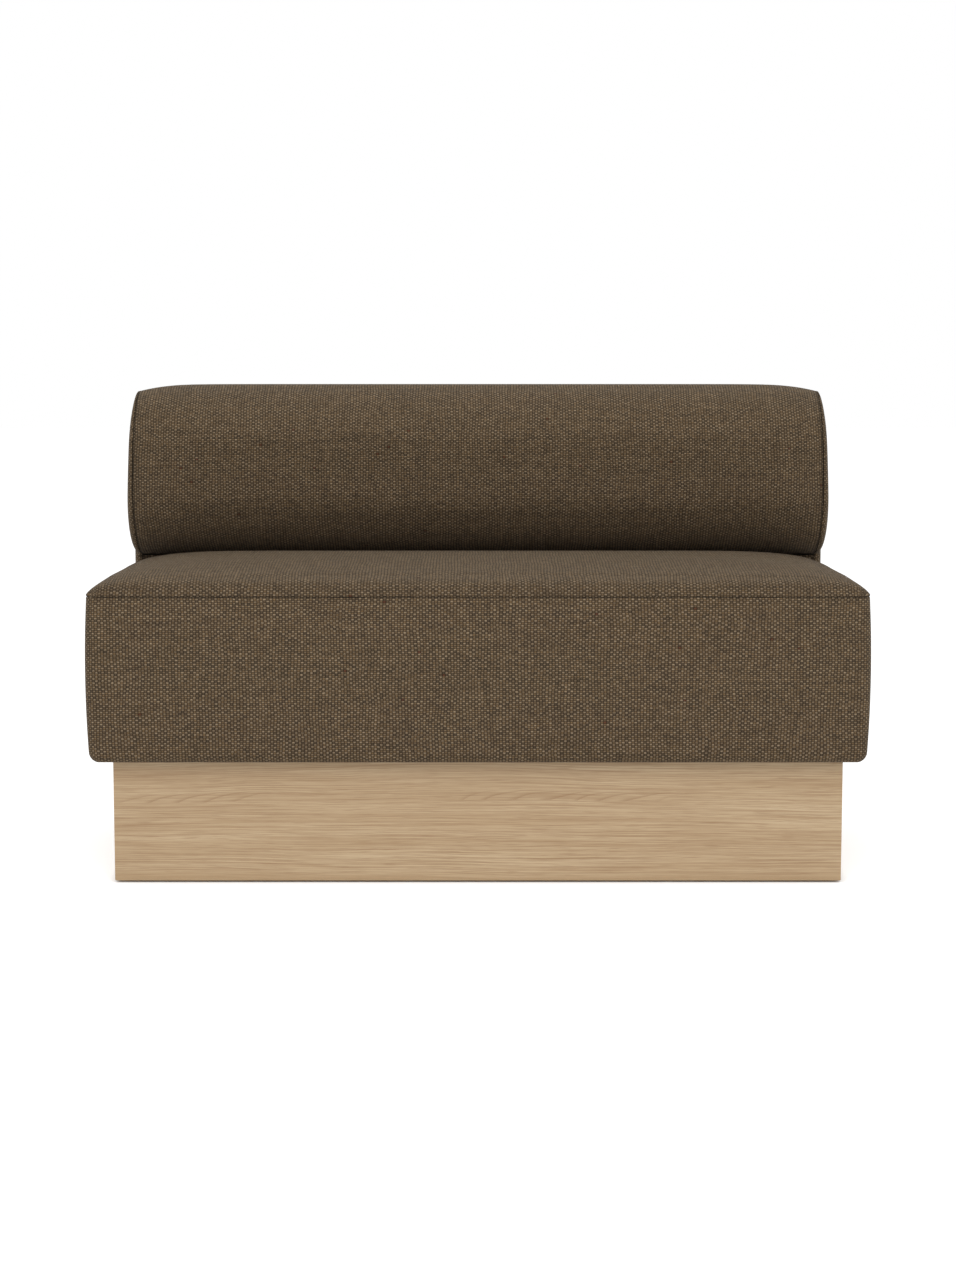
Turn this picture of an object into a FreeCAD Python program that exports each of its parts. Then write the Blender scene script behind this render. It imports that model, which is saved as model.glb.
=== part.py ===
import FreeCAD, Part
import math
import os
import re

import Sketcher
from FreeCAD import Placement, Rotation, Vector

# A dining sofa in millimetres: an oak plinth on screw glides carries a boxed seat with a crowned top and a
# rolled back on plywood formers. X runs along the seat, -Y is the front, Z is up, and the origin is on the
# floor under the middle of the sofa.

# Driving dimensions: alias, value, what it measures
SIZES = [
    ("overall_width", 1200, "widest point of the seat sides"),
    ("overall_depth", 590, "seat front to outside back"),
    ("plinth_inset", 35, "plinth face behind the upholstery on all four sides"),
    ("plinth_height", 195, "floor to the top of the plinth"),
    ("floor_gap", 3, "shadow gap under the plinth boards"),
    ("plinth_board", 22, "veneered board thickness"),
    ("plinth_arris", 1, "eased long edges of the plinth boards"),
    ("cleat_side", 30, "square batten inside the plinth top"),
    ("cleat_end_gap", 1, "batten ends to the side boards"),
    ("brace_board", 18, "plinth cross brace thickness"),
    ("brace_height", 110, "plinth cross brace height"),
    ("brace_lift", 35, "plinth cross brace above the floor"),
    ("block_side", 70, "glide block in the plinth corner"),
    ("block_height", 40, "glide block height"),
    ("block_cut", 28, "glide block inner corner cut"),
    ("pad_diameter", 32, "glide foot diameter"),
    ("pad_height", 8, "glide foot height"),
    ("pad_rim", 3, "straight rim of the glide foot"),
    ("collar_flats", 13, "glide hexagon across flats"),
    ("collar_height", 6, "glide hexagon height"),
    ("stem_diameter", 8, "glide screw diameter"),
    ("stem_length", 36, "glide screw above its hexagon"),
    ("stem_clearance", 0.3, "glide screw in its nut, on the radius"),
    ("bore_clearance", 0.6, "glide screw in its block, on the radius"),
    ("stop_gap", 0.3, "glide hexagon to the nut flange when screwed home"),
    ("nut_flange", 24, "tee nut flange diameter"),
    ("nut_plate", 1.6, "tee nut flange thickness"),
    ("nut_barrel", 11, "tee nut barrel diameter"),
    ("nut_length", 12, "tee nut barrel length"),
    ("bolt_diameter", 8, "bolt between the plinth and the upholstered units"),
    ("bolt_flats", 13, "bolt head across flats"),
    ("bolt_head", 5.3, "bolt head height"),
    ("insert_diameter", 12, "threaded insert diameter"),
    ("insert_length", 13, "threaded insert length"),
    ("fit_clearance", 0.2, "fasteners in their holes, on the radius"),
    ("bolt_count", 4, "bolts along each batten"),
    ("base_board", 15, "plywood base of the seat and of the back"),
    ("cloth_thickness", 1, "dust cloth under the seat"),
    ("seat_height", 255, "plinth top to the seam round the seat"),
    ("seat_crown", 44, "rise of the seat above its seam"),
    ("seat_back_gap", 2, "seat cover to back cover"),
    ("seat_corner", 18, "rounding of the seat's upright corners"),
    ("seam_draw", 3, "how far the seam pulls the sides in"),
    ("side_taper", 3.5, "how far the sides draw in at the bottom"),
    ("bottom_radius", 13, "rounding along the seat's bottom edge"),
    ("flange_gap", 1, "seat cover's turned-in edge to the plinth"),
    ("front_roll", 38, "depth over which the seat's front and back edges roll up"),
    ("side_roll", 36, "length over which the seat's ends roll up"),
    ("cover_thickness", 2, "upholstery fabric with its backing"),
    ("soft_gap", 0.3, "clearance between soft layers"),
    ("frame_inset", 25, "timber frame behind the widest point of the sides"),
    ("rail_board", 22, "seat rail thickness"),
    ("rail_height", 135, "seat rail height"),
    ("centre_rail_height", 80, "seat centre rail height"),
    ("corner_leg", 60, "seat corner block leg"),
    ("corner_height", 100, "seat corner block height"),
    ("webbing_width", 60, "elastic webbing width"),
    ("webbing_thickness", 1.5, "elastic webbing thickness"),
    ("long_straps", 8, "straps from front to back"),
    ("cross_straps", 3, "straps from side to side"),
    ("felt_thickness", 3, "felt over the webbing"),
    ("topper_edge", 19, "top foam's straight edge below the seam"),
    ("back_thickness", 108, "upright part of the back"),
    ("roll_overhang", 96, "roll in front of the upright part"),
    ("roll_rise", 25, "underside of the roll above the seat seam"),
    ("roll_height", 278, "roll from underside to top at its ends"),
    ("roll_crown", 11, "extra swell of the roll at its middle"),
    ("roll_bottom_radius", 110, "roll's lower front curve"),
    ("roll_top_radius", 91, "roll's upper front curve"),
    ("roll_rear_radius", 60, "roll's upper rear curve"),
    ("rear_seam_drop", 8, "rear seam below the rear curve"),
    ("end_dome", 14, "swell of the end panels"),
    ("end_edge", 40, "width over which the end panels swell"),
    ("roll_padding", 45, "foam round the roll and in front of the upright part"),
    ("skin_board", 3, "bent board over the formers"),
    ("rear_padding", 6, "foam on the outside back"),
    ("rear_board", 4, "hardboard on the outside back"),
    ("former_board", 22, "plywood former thickness"),
    ("back_rail", 22, "back rail thickness"),
    ("lower_rail_lift", 80, "lower back rail above the base"),
    ("bracket_leg", 50, "steel angle leg"),
    ("bracket_plate", 4, "steel angle thickness"),
    ("bracket_margin", 2.5, "steel angle inside the former's edges"),
    ("screw_diameter", 5, "angle screw diameter"),
    ("screw_length", 11, "angle screw in the wood"),
    ("screw_head", 10, "angle screw head diameter"),
    ("screw_cap", 3, "angle screw head height"),
    ("overrun", 5, "extra length of every cut"),
]

# Crown of the seat: share of the rise, share of the edge roll, then shares of the plan left at the ends and
# at the front and back
CROWN_SHARES = [(0.0, 0.0, 0.0, 0.0), (0.2, 0.065, 0.0, 0.0), (0.4, 0.29, 0.0, 0.0), (0.6, 1.0, 0.0, 0.0),
                (0.78, 1.0, 0.08, 0.22), (0.91, 1.0, 0.21, 0.48), (1.0, 1.0, 0.42, 0.74)]
CROWN_CORNER_SHARE = 0.1
# Swell of the roll from an end seam to the middle: share of the half length, share of the swell
ROLL_SHARES = [(0.0, 0.0), (0.04, 0.58), (0.09, 0.84), (0.18, 0.97), (0.5, 1.0), (1.0, 1.0)]
# End panels: share of the dome, share of the edge that is drawn in
DOME_SHARES = [(0.0, 0.0), (0.42, 0.06), (0.78, 0.3), (1.0, 1.0)]
SCREW_SPREAD_SHARE = 0.25
SCREW_REACH_SHARE = 0.65

doc = FreeCAD.newDocument("dining_sofa")
sheet = doc.addObject("Spreadsheet::Sheet", "Sizes")
for row, (alias, value, meaning) in enumerate(SIZES, 1):
    sheet.set(f"A{row}", str(value))
    sheet.setAlias(f"A{row}", alias)
    sheet.set(f"B{row}", meaning)
doc.recompute()
ALIASES = {alias for alias, _, _ in SIZES}
pieces = []

# Places that several pieces share, as expressions of the sheet
HALF = "(overall_width / 2)"
FRONT = "(-overall_depth / 2)"
REAR = "(overall_depth / 2)"
NECK = f"({REAR} - back_thickness)"
SEAT_REAR = f"({NECK} - seat_back_gap)"
FRAME_X = f"({HALF} - frame_inset)"
FRAME_FRONT = f"({FRONT} + frame_inset)"
FRAME_REAR = f"({SEAT_REAR} - frame_inset)"
PLINTH_X = f"({HALF} - plinth_inset)"
PLINTH_Y = f"({REAR} - plinth_inset)"
INNER_X = f"({PLINTH_X} - plinth_board)"
INNER_Y = f"({PLINTH_Y} - plinth_board)"
SKIN = "(cover_thickness + soft_gap)"
COVER_FOOT = f"(plinth_height - {SKIN})"
BASE_TOP = "(plinth_height + base_board)"
RAIL_TOP = f"({BASE_TOP} + rail_height)"
DECK_TOP = f"({RAIL_TOP} + 2 * webbing_thickness + felt_thickness)"
SEAM = "(plinth_height + seat_height)"
FOAM_TOP = f"({SEAM} - topper_edge)"
ROLL_FOOT = f"({SEAM} + roll_rise)"
ROLL_TOP = f"({ROLL_FOOT} + roll_height)"
ROLL_FRONT = f"({NECK} - roll_overhang)"
REAR_SEAM = f"({ROLL_TOP} - roll_rear_radius - rear_seam_drop)"
BOARD_INSET = f"({SKIN} + roll_padding + soft_gap)"
FORMER_INSET = f"({BOARD_INSET} + skin_board)"
REAR_INSET = f"({SKIN} + rear_padding + rear_board)"
POST_FRONT = f"({NECK} + {FORMER_INSET})"
POST_REAR = f"({REAR} - {REAR_INSET})"
BLOCK_FOOT = "(pad_height + collar_height + stop_gap + nut_plate)"


def bound(text):
    """The text with every alias written as a cell of the sheet."""
    return re.sub(r"[a-z_]+", lambda word: f"Sizes.{word[0]}" if word[0] in ALIASES else word[0], text)


def mm(text):
    """The value of an expression of the sheet."""
    return float(sheet.evalExpression(bound(text)))


def bind(thing, **expressions):
    """Tie properties to the sheet; a double underscore stands for a dot."""
    for name, text in expressions.items():
        thing.setExpression(name.replace("__", "."), bound(text))
    return thing


def keep(piece):
    """Put a finished sub-part on the list that is written."""
    pieces.append(piece)
    return piece


def box(label, x, y, z):
    """A board between three pairs of planes."""
    board = doc.addObject("Part::Box", label)
    for side, axis, (low, high) in zip(("Length", "Width", "Height"), "xyz", (x, y, z)):
        bind(board, **{side: f"({high}) - ({low})", f"Placement__Base__{axis}": low})
    return board


def solid(label, shape, shift=Vector()):
    """A piece whose shape is worked out from the sheet, moved to its place."""
    piece = doc.addObject("Part::Feature", label)
    piece.Shape = shape
    piece.Placement = Placement(shift, Rotation())
    return piece


def sketch_on(body, role, name, offset):
    """An empty sketch on one of the body's own planes, moved along that plane's normal."""
    sketch = body.newObject("Sketcher::SketchObject", name)
    plane = next(feature for feature in body.Origin.OriginFeatures if feature.Role == role)
    sketch.AttachmentSupport = (plane, [""])
    sketch.MapMode = "FlatFace"
    return bind(sketch, AttachmentOffset__Base__z=offset)


def place_point(sketch, geometry, point, texts):
    """Dimension one point of a sketch from its origin."""
    for kind, text in zip(("DistanceX", "DistanceY"), texts):
        index = sketch.addConstraint(Sketcher.Constraint(kind, -1, 1, geometry, point, mm(text)))
        sketch.setExpression(f"Constraints[{index}]", bound(text))


def draw_outline(sketch, corners):
    """A closed outline of straight edges, with every corner dimensioned."""
    points = [Vector(mm(across), mm(up), 0) for across, up in corners]
    count = len(points)
    for index, point in enumerate(points):
        sketch.addGeometry(Part.LineSegment(point, points[(index + 1) % count]))
    for index in range(count):
        sketch.addConstraint(Sketcher.Constraint("Coincident", index, 2, (index + 1) % count, 1))
    for index, texts in enumerate(corners):
        place_point(sketch, index, 1, texts)


def padded_outline(label, role, corners, offset, length):
    """A body padded from an outline along the normal of its plane."""
    body = doc.addObject("PartDesign::Body", label)
    sketch = sketch_on(body, role, f"{label}_outline", offset)
    draw_outline(sketch, corners)
    pad = body.newObject("PartDesign::Pad", f"{label}_pad")
    pad.Profile = sketch
    bind(pad, Length=length)
    doc.recompute()
    return body


def drill(body, role, name, centres, diameter, offset, depth=None, along=False):
    """Round holes through the body, or to a depth, against the normal of their sketch or along it."""
    sketch = sketch_on(body, role, f"{body.Label}_{name}_centres", offset)
    for texts in centres:
        place = Vector(mm(texts[0]), mm(texts[1]), 0)
        circle = sketch.addGeometry(Part.Circle(place, Vector(0, 0, 1), mm(f"({diameter}) / 2")))
        place_point(sketch, circle, 3, texts)
        index = sketch.addConstraint(Sketcher.Constraint("Diameter", circle, mm(diameter)))
        sketch.setExpression(f"Constraints[{index}]", bound(diameter))
    before = body.Shape.Volume
    holes = body.newObject("PartDesign::Pocket", f"{body.Label}_{name}")
    holes.Profile = sketch
    holes.Reversed = along
    if depth:
        bind(holes, Length=depth)
    else:
        holes.Type = "ThroughAll"
    doc.recompute()
    if body.Shape.Volume >= before:
        raise RuntimeError(f"{body.Label}: {name} cut nothing")
    return body


def plinth_board(label, corners, face):
    """A mitred board whose two long edges on the outer face, at its foot from the origin, are eased."""
    board = padded_outline(label, "XY_Plane", corners, "floor_gap", "plinth_height - floor_gap")
    base = board.Tip
    away = face.Length
    names = [f"Edge{index}" for index, edge in enumerate(base.Shape.Edges, 1)
             if all(math.isclose(point.Point.dot(face) / away, away) for point in edge.Vertexes)
             and math.isclose(*[point.Point.z for point in edge.Vertexes])]
    arris = board.newObject("PartDesign::Chamfer", f"{label}_arris")
    arris.Base = (base, names)
    bind(arris, Size="plinth_arris")
    doc.recompute()
    keep(board)


def turned(label, corners):
    """A body turned round the Z axis from an outline of radius and height."""
    body = doc.addObject("PartDesign::Body", label)
    sketch = sketch_on(body, "YZ_Plane", f"{label}_outline", "0")
    draw_outline(sketch, corners)
    turn = body.newObject("PartDesign::Revolution", f"{label}_turn")
    turn.Profile = sketch
    turn.ReferenceAxis = (sketch, ["V_Axis"])
    turn.Angle = 360
    doc.recompute()
    return body


def hexagon(label, flats, height, foot):
    """A hexagonal prism standing on the given height."""
    prism = doc.addObject("Part::Prism", label)
    prism.Polygon = 6
    return bind(prism, Circumradius=f"({flats}) / sqrt(3)", Height=height, Placement__Base__z=foot)


def rod(label, diameter, height, foot):
    """An upright round bar standing on the given height."""
    bar = doc.addObject("Part::Cylinder", label)
    return bind(bar, Radius=f"({diameter}) / 2", Height=height, Placement__Base__z=foot)


def joined(label, first, second):
    """Two overlapping or touching solids made one."""
    fuse = doc.addObject("Part::Fuse", label)
    fuse.Base = first
    fuse.Tool = second
    doc.recompute()
    return fuse


def group(label, shapes):
    """Like pieces kept as separate solids of one sub-part."""
    return keep(solid(label, Part.makeCompound([part for shape in shapes for part in shape.Solids])))


def in_four_corners(shape, middle):
    """A shape from the front left corner and its mirror images about X and the middle plane in Y."""
    right = shape.mirror(Vector(0, 0, 0), Vector(1, 0, 0))
    centre = Vector(0, middle, 0)
    return [shape, right] + [part.mirror(centre, Vector(0, 1, 0)) for part in (shape, right)]


def arc(centre, radius, start, end, across):
    """A circular edge in the plane X = across, between two angles from +Y towards +Z."""
    places = [(centre[0] + radius * math.cos(turn), centre[1] + radius * math.sin(turn))
              for turn in (start, (start + end) / 2, end)]
    return Part.Arc(*[Vector(across, y, z) for y, z in places]).toShape()


def line(across, first, second):
    """A straight edge in the plane X = across."""
    return Part.makeLine(Vector(across, *first), Vector(across, *second))


def plinth():
    """Four mitred oak boards, their battens, brace, glide blocks and nuts."""
    for name, sign in (("front", "-1"), ("back", "1")):
        corners = [(f"-{PLINTH_X}", f"{sign} * {PLINTH_Y}"), (PLINTH_X, f"{sign} * {PLINTH_Y}"),
                   (INNER_X, f"{sign} * {INNER_Y}"), (f"-{INNER_X}", f"{sign} * {INNER_Y}")]
        plinth_board(f"plinth_{name}_board", corners, Vector(0, mm(f"{sign} * {PLINTH_Y}"), 0))
    for name, sign in (("left", "-1"), ("right", "1")):
        corners = [(f"{sign} * {PLINTH_X}", f"-{PLINTH_Y}"), (f"{sign} * {PLINTH_X}", PLINTH_Y),
                   (f"{sign} * {INNER_X}", INNER_Y), (f"{sign} * {INNER_X}", f"-{INNER_Y}")]
        plinth_board(f"plinth_{name}_board", corners, Vector(mm(f"{sign} * {PLINTH_X}"), 0, 0))
    keep(box("plinth_brace", ("-brace_board / 2", "brace_board / 2"), (f"-{INNER_Y}", INNER_Y),
             ("brace_lift", "brace_lift + brace_height")))
    low = f"-{INNER_X}"
    edge = f"-{INNER_Y}"
    corners = [(low, edge), (f"{low} + block_side", edge),
               (f"{low} + block_side", f"{edge} + block_side - block_cut"),
               (f"{low} + block_side - block_cut", f"{edge} + block_side"), (low, f"{edge} + block_side")]
    block = padded_outline("glide_block", "XY_Plane", corners, BLOCK_FOOT, "block_height")
    centre = [(f"{low} + block_side / 2", f"{edge} + block_side / 2")]
    drill(block, "XY_Plane", "bore", centre, "stem_diameter + 2 * bore_clearance",
          f"{BLOCK_FOOT} + block_height")
    drill(block, "XY_Plane", "nut_seat", centre, "nut_barrel + 2 * fit_clearance", BLOCK_FOOT,
          "nut_length + fit_clearance", along=True)
    group("plinth_corner_blocks", in_four_corners(block.Shape, 0))


def battens():
    """Battens inside the plinth top, with the bolts and inserts that hold the seat and the back down."""
    lines = (("front", f"-{INNER_Y}", f"-{INNER_Y} + cleat_side"),
             ("middle", f"{SEAT_REAR} - plinth_inset - cleat_side", f"{SEAT_REAR} - plinth_inset"),
             ("back", f"{INNER_Y} - cleat_side", INNER_Y))
    reach = f"({INNER_X} - cleat_end_gap)"
    head = hexagon("bolt_head_master", "bolt_flats", "bolt_head", "plinth_height - cleat_side - bolt_head")
    shank = rod("bolt_shank_master", "bolt_diameter", "cleat_side + insert_length - fit_clearance",
                "plinth_height - cleat_side")
    bolt = joined("bolt_master", head, shank)
    bore = "(bolt_diameter / 2 + fit_clearance)"
    insert = turned("insert_master", [(bore, "plinth_height"), ("insert_diameter / 2", "plinth_height"),
                                      ("insert_diameter / 2", "plinth_height + insert_length"),
                                      (bore, "plinth_height + insert_length")])
    bolts = []
    inserts = []
    places = {}
    for name, low, high in lines:
        corners = [(f"-{reach}", low), (reach, low), (reach, high), (f"-{reach}", high)]
        batten = padded_outline(f"plinth_{name}_batten", "XY_Plane", corners, "plinth_height - cleat_side",
                                "cleat_side")
        centres = bolt_centres(low, high, reach)
        keep(drill(batten, "XY_Plane", "bolt_holes", centres, f"2 * {bore}", "plinth_height"))
        for texts in centres:
            shift = Vector(mm(texts[0]), mm(texts[1]), 0)
            bolts.append(bolt.Shape.translated(shift))
            inserts.append(insert.Shape.translated(shift))
        places[name] = centres
    group("plinth_bolts", bolts)
    group("bolt_inserts", inserts)
    base_panel("seat", FRAME_FRONT, FRAME_REAR, places["front"] + places["middle"])
    panel = base_panel("back", f"{NECK} + {SKIN}", POST_REAR, places["back"])
    drill(panel, "XY_Plane", "screw_holes", base_screw_places(), "screw_diameter + 2 * fit_clearance",
          BASE_TOP, "screw_length + fit_clearance")


def bolt_centres(low, high, reach):
    """Bolts evenly spaced along a batten."""
    count = int(mm("bolt_count"))
    middle = f"(({low}) + ({high})) / 2"
    return [(f"{reach} * {2 * index + 1 - count} / {count}", middle) for index in range(count)]


def base_panel(name, low, high, centres):
    """The plywood base of the seat or of the back, bored for the bolts' inserts."""
    corners = [(f"-{FRAME_X}", low), (FRAME_X, low), (FRAME_X, high), (f"-{FRAME_X}", high)]
    panel = padded_outline(f"{name}_base_panel", "XY_Plane", corners, "plinth_height", "base_board")
    drill(panel, "XY_Plane", "insert_holes", centres, "insert_diameter + 2 * fit_clearance", BASE_TOP)
    return keep(panel)


def glides():
    """Tee nuts in the corner blocks, and four screw glides with moulded feet."""
    bore = "(stem_diameter / 2 + stem_clearance)"
    plate = f"({BLOCK_FOOT} - nut_plate)"
    nut = turned("tee_nut_master", [(bore, plate), ("nut_flange / 2", plate), ("nut_flange / 2", BLOCK_FOOT),
                                    ("nut_barrel / 2", BLOCK_FOOT),
                                    ("nut_barrel / 2", f"{BLOCK_FOOT} + nut_length"),
                                    (bore, f"{BLOCK_FOOT} + nut_length")])
    collar = hexagon("glide_collar_master", "collar_flats", "collar_height", "pad_height")
    screw = rod("glide_screw_master", "stem_diameter", "stem_length", "pad_height + collar_height")
    stem = joined("glide_stem_master", collar, screw)
    foot = turned("glide_foot_master", [("0", "0"), ("pad_diameter / 2", "0"),
                                        ("pad_diameter / 2", "pad_rim"),
                                        ("collar_flats / sqrt(3)", "pad_height"), ("0", "pad_height")])
    across = mm(f"{INNER_X} - block_side / 2")
    along = mm(f"{INNER_Y} - block_side / 2")
    nuts = []
    for end, y in (("front", -along), ("back", along)):
        for side, x in (("left", -across), ("right", across)):
            shift = Vector(x, y, 0)
            nuts.append(nut.Shape.translated(shift))
            keep(solid(f"glide_stem_{end}_{side}", stem.Shape, shift))
            keep(solid(f"glide_foot_{end}_{side}", foot.Shape, shift))
    group("glide_tee_nuts", nuts)


def seat_frame():
    """The seat's timber box, its corner blocks, webbing, felt, firm foam and dust cloth."""
    rise = (BASE_TOP, RAIL_TOP)
    keep(box("seat_front_rail", (f"-{FRAME_X}", FRAME_X), (FRAME_FRONT, f"{FRAME_FRONT} + rail_board"), rise))
    keep(box("seat_back_rail", (f"-{FRAME_X}", FRAME_X), (f"{FRAME_REAR} - rail_board", FRAME_REAR), rise))
    between = (f"{FRAME_FRONT} + rail_board", f"{FRAME_REAR} - rail_board")
    keep(box("seat_left_rail", (f"-{FRAME_X}", f"-{FRAME_X} + rail_board"), between, rise))
    keep(box("seat_right_rail", (f"{FRAME_X} - rail_board", FRAME_X), between, rise))
    keep(box("seat_centre_rail", ("-rail_board / 2", "rail_board / 2"), between,
             (BASE_TOP, f"{BASE_TOP} + centre_rail_height")))
    low = f"-{FRAME_X} + rail_board"
    edge = f"{FRAME_FRONT} + rail_board"
    block = padded_outline("corner_block_master", "XY_Plane",
                           [(low, edge), (f"{low} + corner_leg", edge), (low, f"{edge} + corner_leg")],
                           BASE_TOP, "corner_height")
    group("seat_corner_blocks", in_four_corners(block.Shape, mm(f"({FRAME_FRONT} + {FRAME_REAR}) / 2")))
    group("seat_webbing", straps("long_straps", True) + straps("cross_straps", False))
    plan = ((f"-{FRAME_X}", FRAME_X), (FRAME_FRONT, FRAME_REAR))
    keep(box("seat_felt", *plan, (f"{DECK_TOP} - felt_thickness", DECK_TOP)))
    keep(box("seat_base_foam", *plan, (DECK_TOP, FOAM_TOP)))
    keep(box("seat_dust_cloth", (f"-{INNER_X} + cleat_end_gap", f"{INNER_X} - cleat_end_gap"),
             (f"-{INNER_Y} + cleat_side", f"{SEAT_REAR} - plinth_inset - cleat_side"),
             ("plinth_height - cloth_thickness", "plinth_height")))


def straps(count, lengthwise):
    """Elastic straps stretched over the rails, one layer each way."""
    number = int(mm(count))
    width = mm("webbing_width")
    thickness = mm("webbing_thickness")
    low = mm(f"-{FRAME_X}") if lengthwise else mm(FRAME_FRONT)
    high = mm(FRAME_X) if lengthwise else mm(FRAME_REAR)
    rail = mm("rail_board")
    pitch = (high - low - 2 * rail) / number
    shapes = []
    for index in range(number):
        start = low + rail + (index + 0.5) * pitch - width / 2
        if lengthwise:
            corner = Vector(start, mm(FRAME_FRONT), mm(RAIL_TOP))
            shapes.append(Part.makeBox(width, mm(f"{FRAME_REAR} - {FRAME_FRONT}"), thickness, corner))
        else:
            corner = Vector(mm(f"-{FRAME_X}"), start, mm(RAIL_TOP) + thickness)
            shapes.append(Part.makeBox(mm(f"2 * {FRAME_X}"), width, thickness, corner))
    return shapes


def rounded_plan(x, low, high, radius, z):
    """A rectangle with round corners in the plane Z = z."""
    corners = [(x, low, -90), (x, high, 0), (-x, high, 90), (-x, low, 180)]
    edges = []
    ends = []
    for right, edge, start in corners:
        centre = (right - math.copysign(radius, right), edge + (radius if edge == low else -radius))
        turns = [math.radians(start + turn) for turn in (0, 45, 90)]
        places = [Vector(centre[0] + radius * math.cos(turn), centre[1] + radius * math.sin(turn), z)
                  for turn in turns]
        edges.append(Part.Arc(*places).toShape())
        ends.append((places[0], places[2]))
    sides = [Part.makeLine(ends[index][1], ends[(index + 1) % 4][0]) for index in range(4)]
    return Part.Wire([edge for pair in zip(edges, sides) for edge in pair])


def seat_side_form(inset):
    """The seat's sides: drawn in at the bottom and at the seam, fullest in between, rounded underneath."""
    foot = mm(COVER_FOOT) + inset
    seam = mm(SEAM)
    taper = mm("side_taper")
    pull = mm("seam_draw")
    fullest = math.sqrt(taper) / (math.sqrt(taper) + math.sqrt(pull))
    levels = [(foot, taper), (foot + fullest * (seam - foot), 0), (seam, pull)]
    wires = [rounded_plan(mm(HALF) - inset - draw, mm(FRONT) + inset + draw, mm(SEAT_REAR) - inset - draw,
                          mm("seat_corner") - inset, z) for z, draw in levels]
    form = Part.makeLoft(wires, True, False)
    under = [edge for edge in form.Edges if edge.BoundBox.ZMax < (foot + seam) / 2]
    return form.makeFillet(mm("bottom_radius") - inset, under)


def slab_between(foot, top):
    """Everything between two heights."""
    reach = mm("overall_width")
    return Part.makeBox(2 * reach, 2 * reach, top - foot, Vector(-reach, -reach, foot))


def seat_crown_loft(drop):
    """The pillow top: plan outlines that shrink as they rise, quick at the front and slower at the ends."""
    draw = mm("seam_draw") + drop
    length = mm(f"{HALF} - seam_draw - side_roll")
    depth = mm(f"({SEAT_REAR} - {FRONT}) / 2 - seam_draw - front_roll")
    wires = []
    for rise, roll, end, edge in CROWN_SHARES:
        along = roll * mm("side_roll") + end * length
        across = roll * mm("front_roll") + edge * depth
        wires.append(rounded_plan(mm(HALF) - draw - along, mm(FRONT) + draw + across,
                                  mm(SEAT_REAR) - draw - across,
                                  mm("seat_corner") - drop + CROWN_CORNER_SHARE * across,
                                  mm(SEAM) - drop + rise * mm("seat_crown")))
    return Part.makeLoft(wires, True, False)


def seat_soft():
    """Side padding, crowned top foam, and the two fabric panels that meet at the seam."""
    skin = mm(SKIN)
    form = seat_side_form(skin).common(slab_between(mm("plinth_height"), mm(FOAM_TOP)))
    core = Part.makeBox(mm(f"2 * {FRAME_X}"), mm(f"{FRAME_REAR} - {FRAME_FRONT}"), mm(SEAM),
                        Vector(mm(f"-{FRAME_X}"), mm(FRAME_FRONT), 0))
    ring = form.cut(core)
    reach = mm("overall_width")
    front = mm(FRAME_FRONT)
    depth = mm(f"{FRAME_REAR} - {FRAME_FRONT}")
    zones = {"front": Part.makeBox(2 * reach, reach, reach, Vector(-reach, front - reach, 0)),
             "rear": Part.makeBox(2 * reach, reach, reach, Vector(-reach, front + depth, 0)),
             "left": Part.makeBox(reach, depth, reach, Vector(-reach, front, 0)),
             "right": Part.makeBox(reach, depth, reach, Vector(0, front, 0))}
    for name, zone in zones.items():
        keep(solid(f"seat_{name}_padding", ring.common(zone)))
    edge = mm("seam_draw") + skin
    plan = rounded_plan(mm(HALF) - edge, mm(FRONT) + edge, mm(SEAT_REAR) - edge, mm("seat_corner") - skin,
                        mm(FOAM_TOP))
    wall = Part.Face(plan).extrude(Vector(0, 0, mm(f"topper_edge - {SKIN}")))
    keep(solid("seat_top_foam", wall.fuse(seat_crown_loft(skin)).removeSplitter()))
    thickness = mm("cover_thickness")
    keep(solid("seat_cover_top", seat_crown_loft(0).cut(seat_crown_loft(thickness))))
    gap = mm("soft_gap")
    inside = seat_side_form(thickness)
    clear = mm("plinth_inset - flange_gap")
    opening = Part.makeBox(mm("overall_width") - 2 * clear, mm("overall_depth") - 2 * clear,
                           mm("plinth_height"), Vector(clear - mm(HALF), clear + mm(FRONT), gap))
    keep(solid("seat_cover_border", seat_side_form(0).cut(inside).cut(opening)))


def roll_edges(across, inset, rear_inset, swell):
    """Edges of the roll from the neck round its front and top to the rear seam, and their end points."""
    front = mm(ROLL_FRONT) - swell
    neck = mm(NECK) + inset
    foot = mm(ROLL_FOOT)
    top = mm(ROLL_TOP) + swell
    low_radius = mm("roll_bottom_radius")
    high_radius = mm("roll_top_radius")
    rear_radius = mm("roll_rear_radius") - rear_inset
    rear = mm(REAR) - rear_inset
    low = (front + low_radius, foot + low_radius)
    high = (front + high_radius, top - high_radius)
    back = (rear - rear_radius, top - inset - rear_radius)
    start = math.asin((neck - low[0]) / (low_radius - inset)) - math.pi / 2
    edges = [arc(low, low_radius - inset, start, -math.pi, across),
             line(across, (front + inset, low[1]), (front + inset, high[1])),
             arc(high, high_radius - inset, math.pi, math.pi / 2, across),
             line(across, (high[0], top - inset), (back[0], top - inset)),
             arc(back, rear_radius, math.pi / 2, 0, across),
             line(across, (rear, back[1]), (rear, mm(REAR_SEAM)))]
    junction = (neck, low[1] + (low_radius - inset) * math.sin(start))
    return edges, junction, (rear, mm(REAR_SEAM))


def roll_stations():
    """Places along the roll with its swell there, from the left end seam to the right."""
    half = mm(FRAME_X)
    crown = mm("roll_crown")
    left = [(-half * (1 - share), crown * swell) for share, swell in ROLL_SHARES]
    return left + [(-x, swell) for x, swell in left[-2::-1]]


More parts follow.
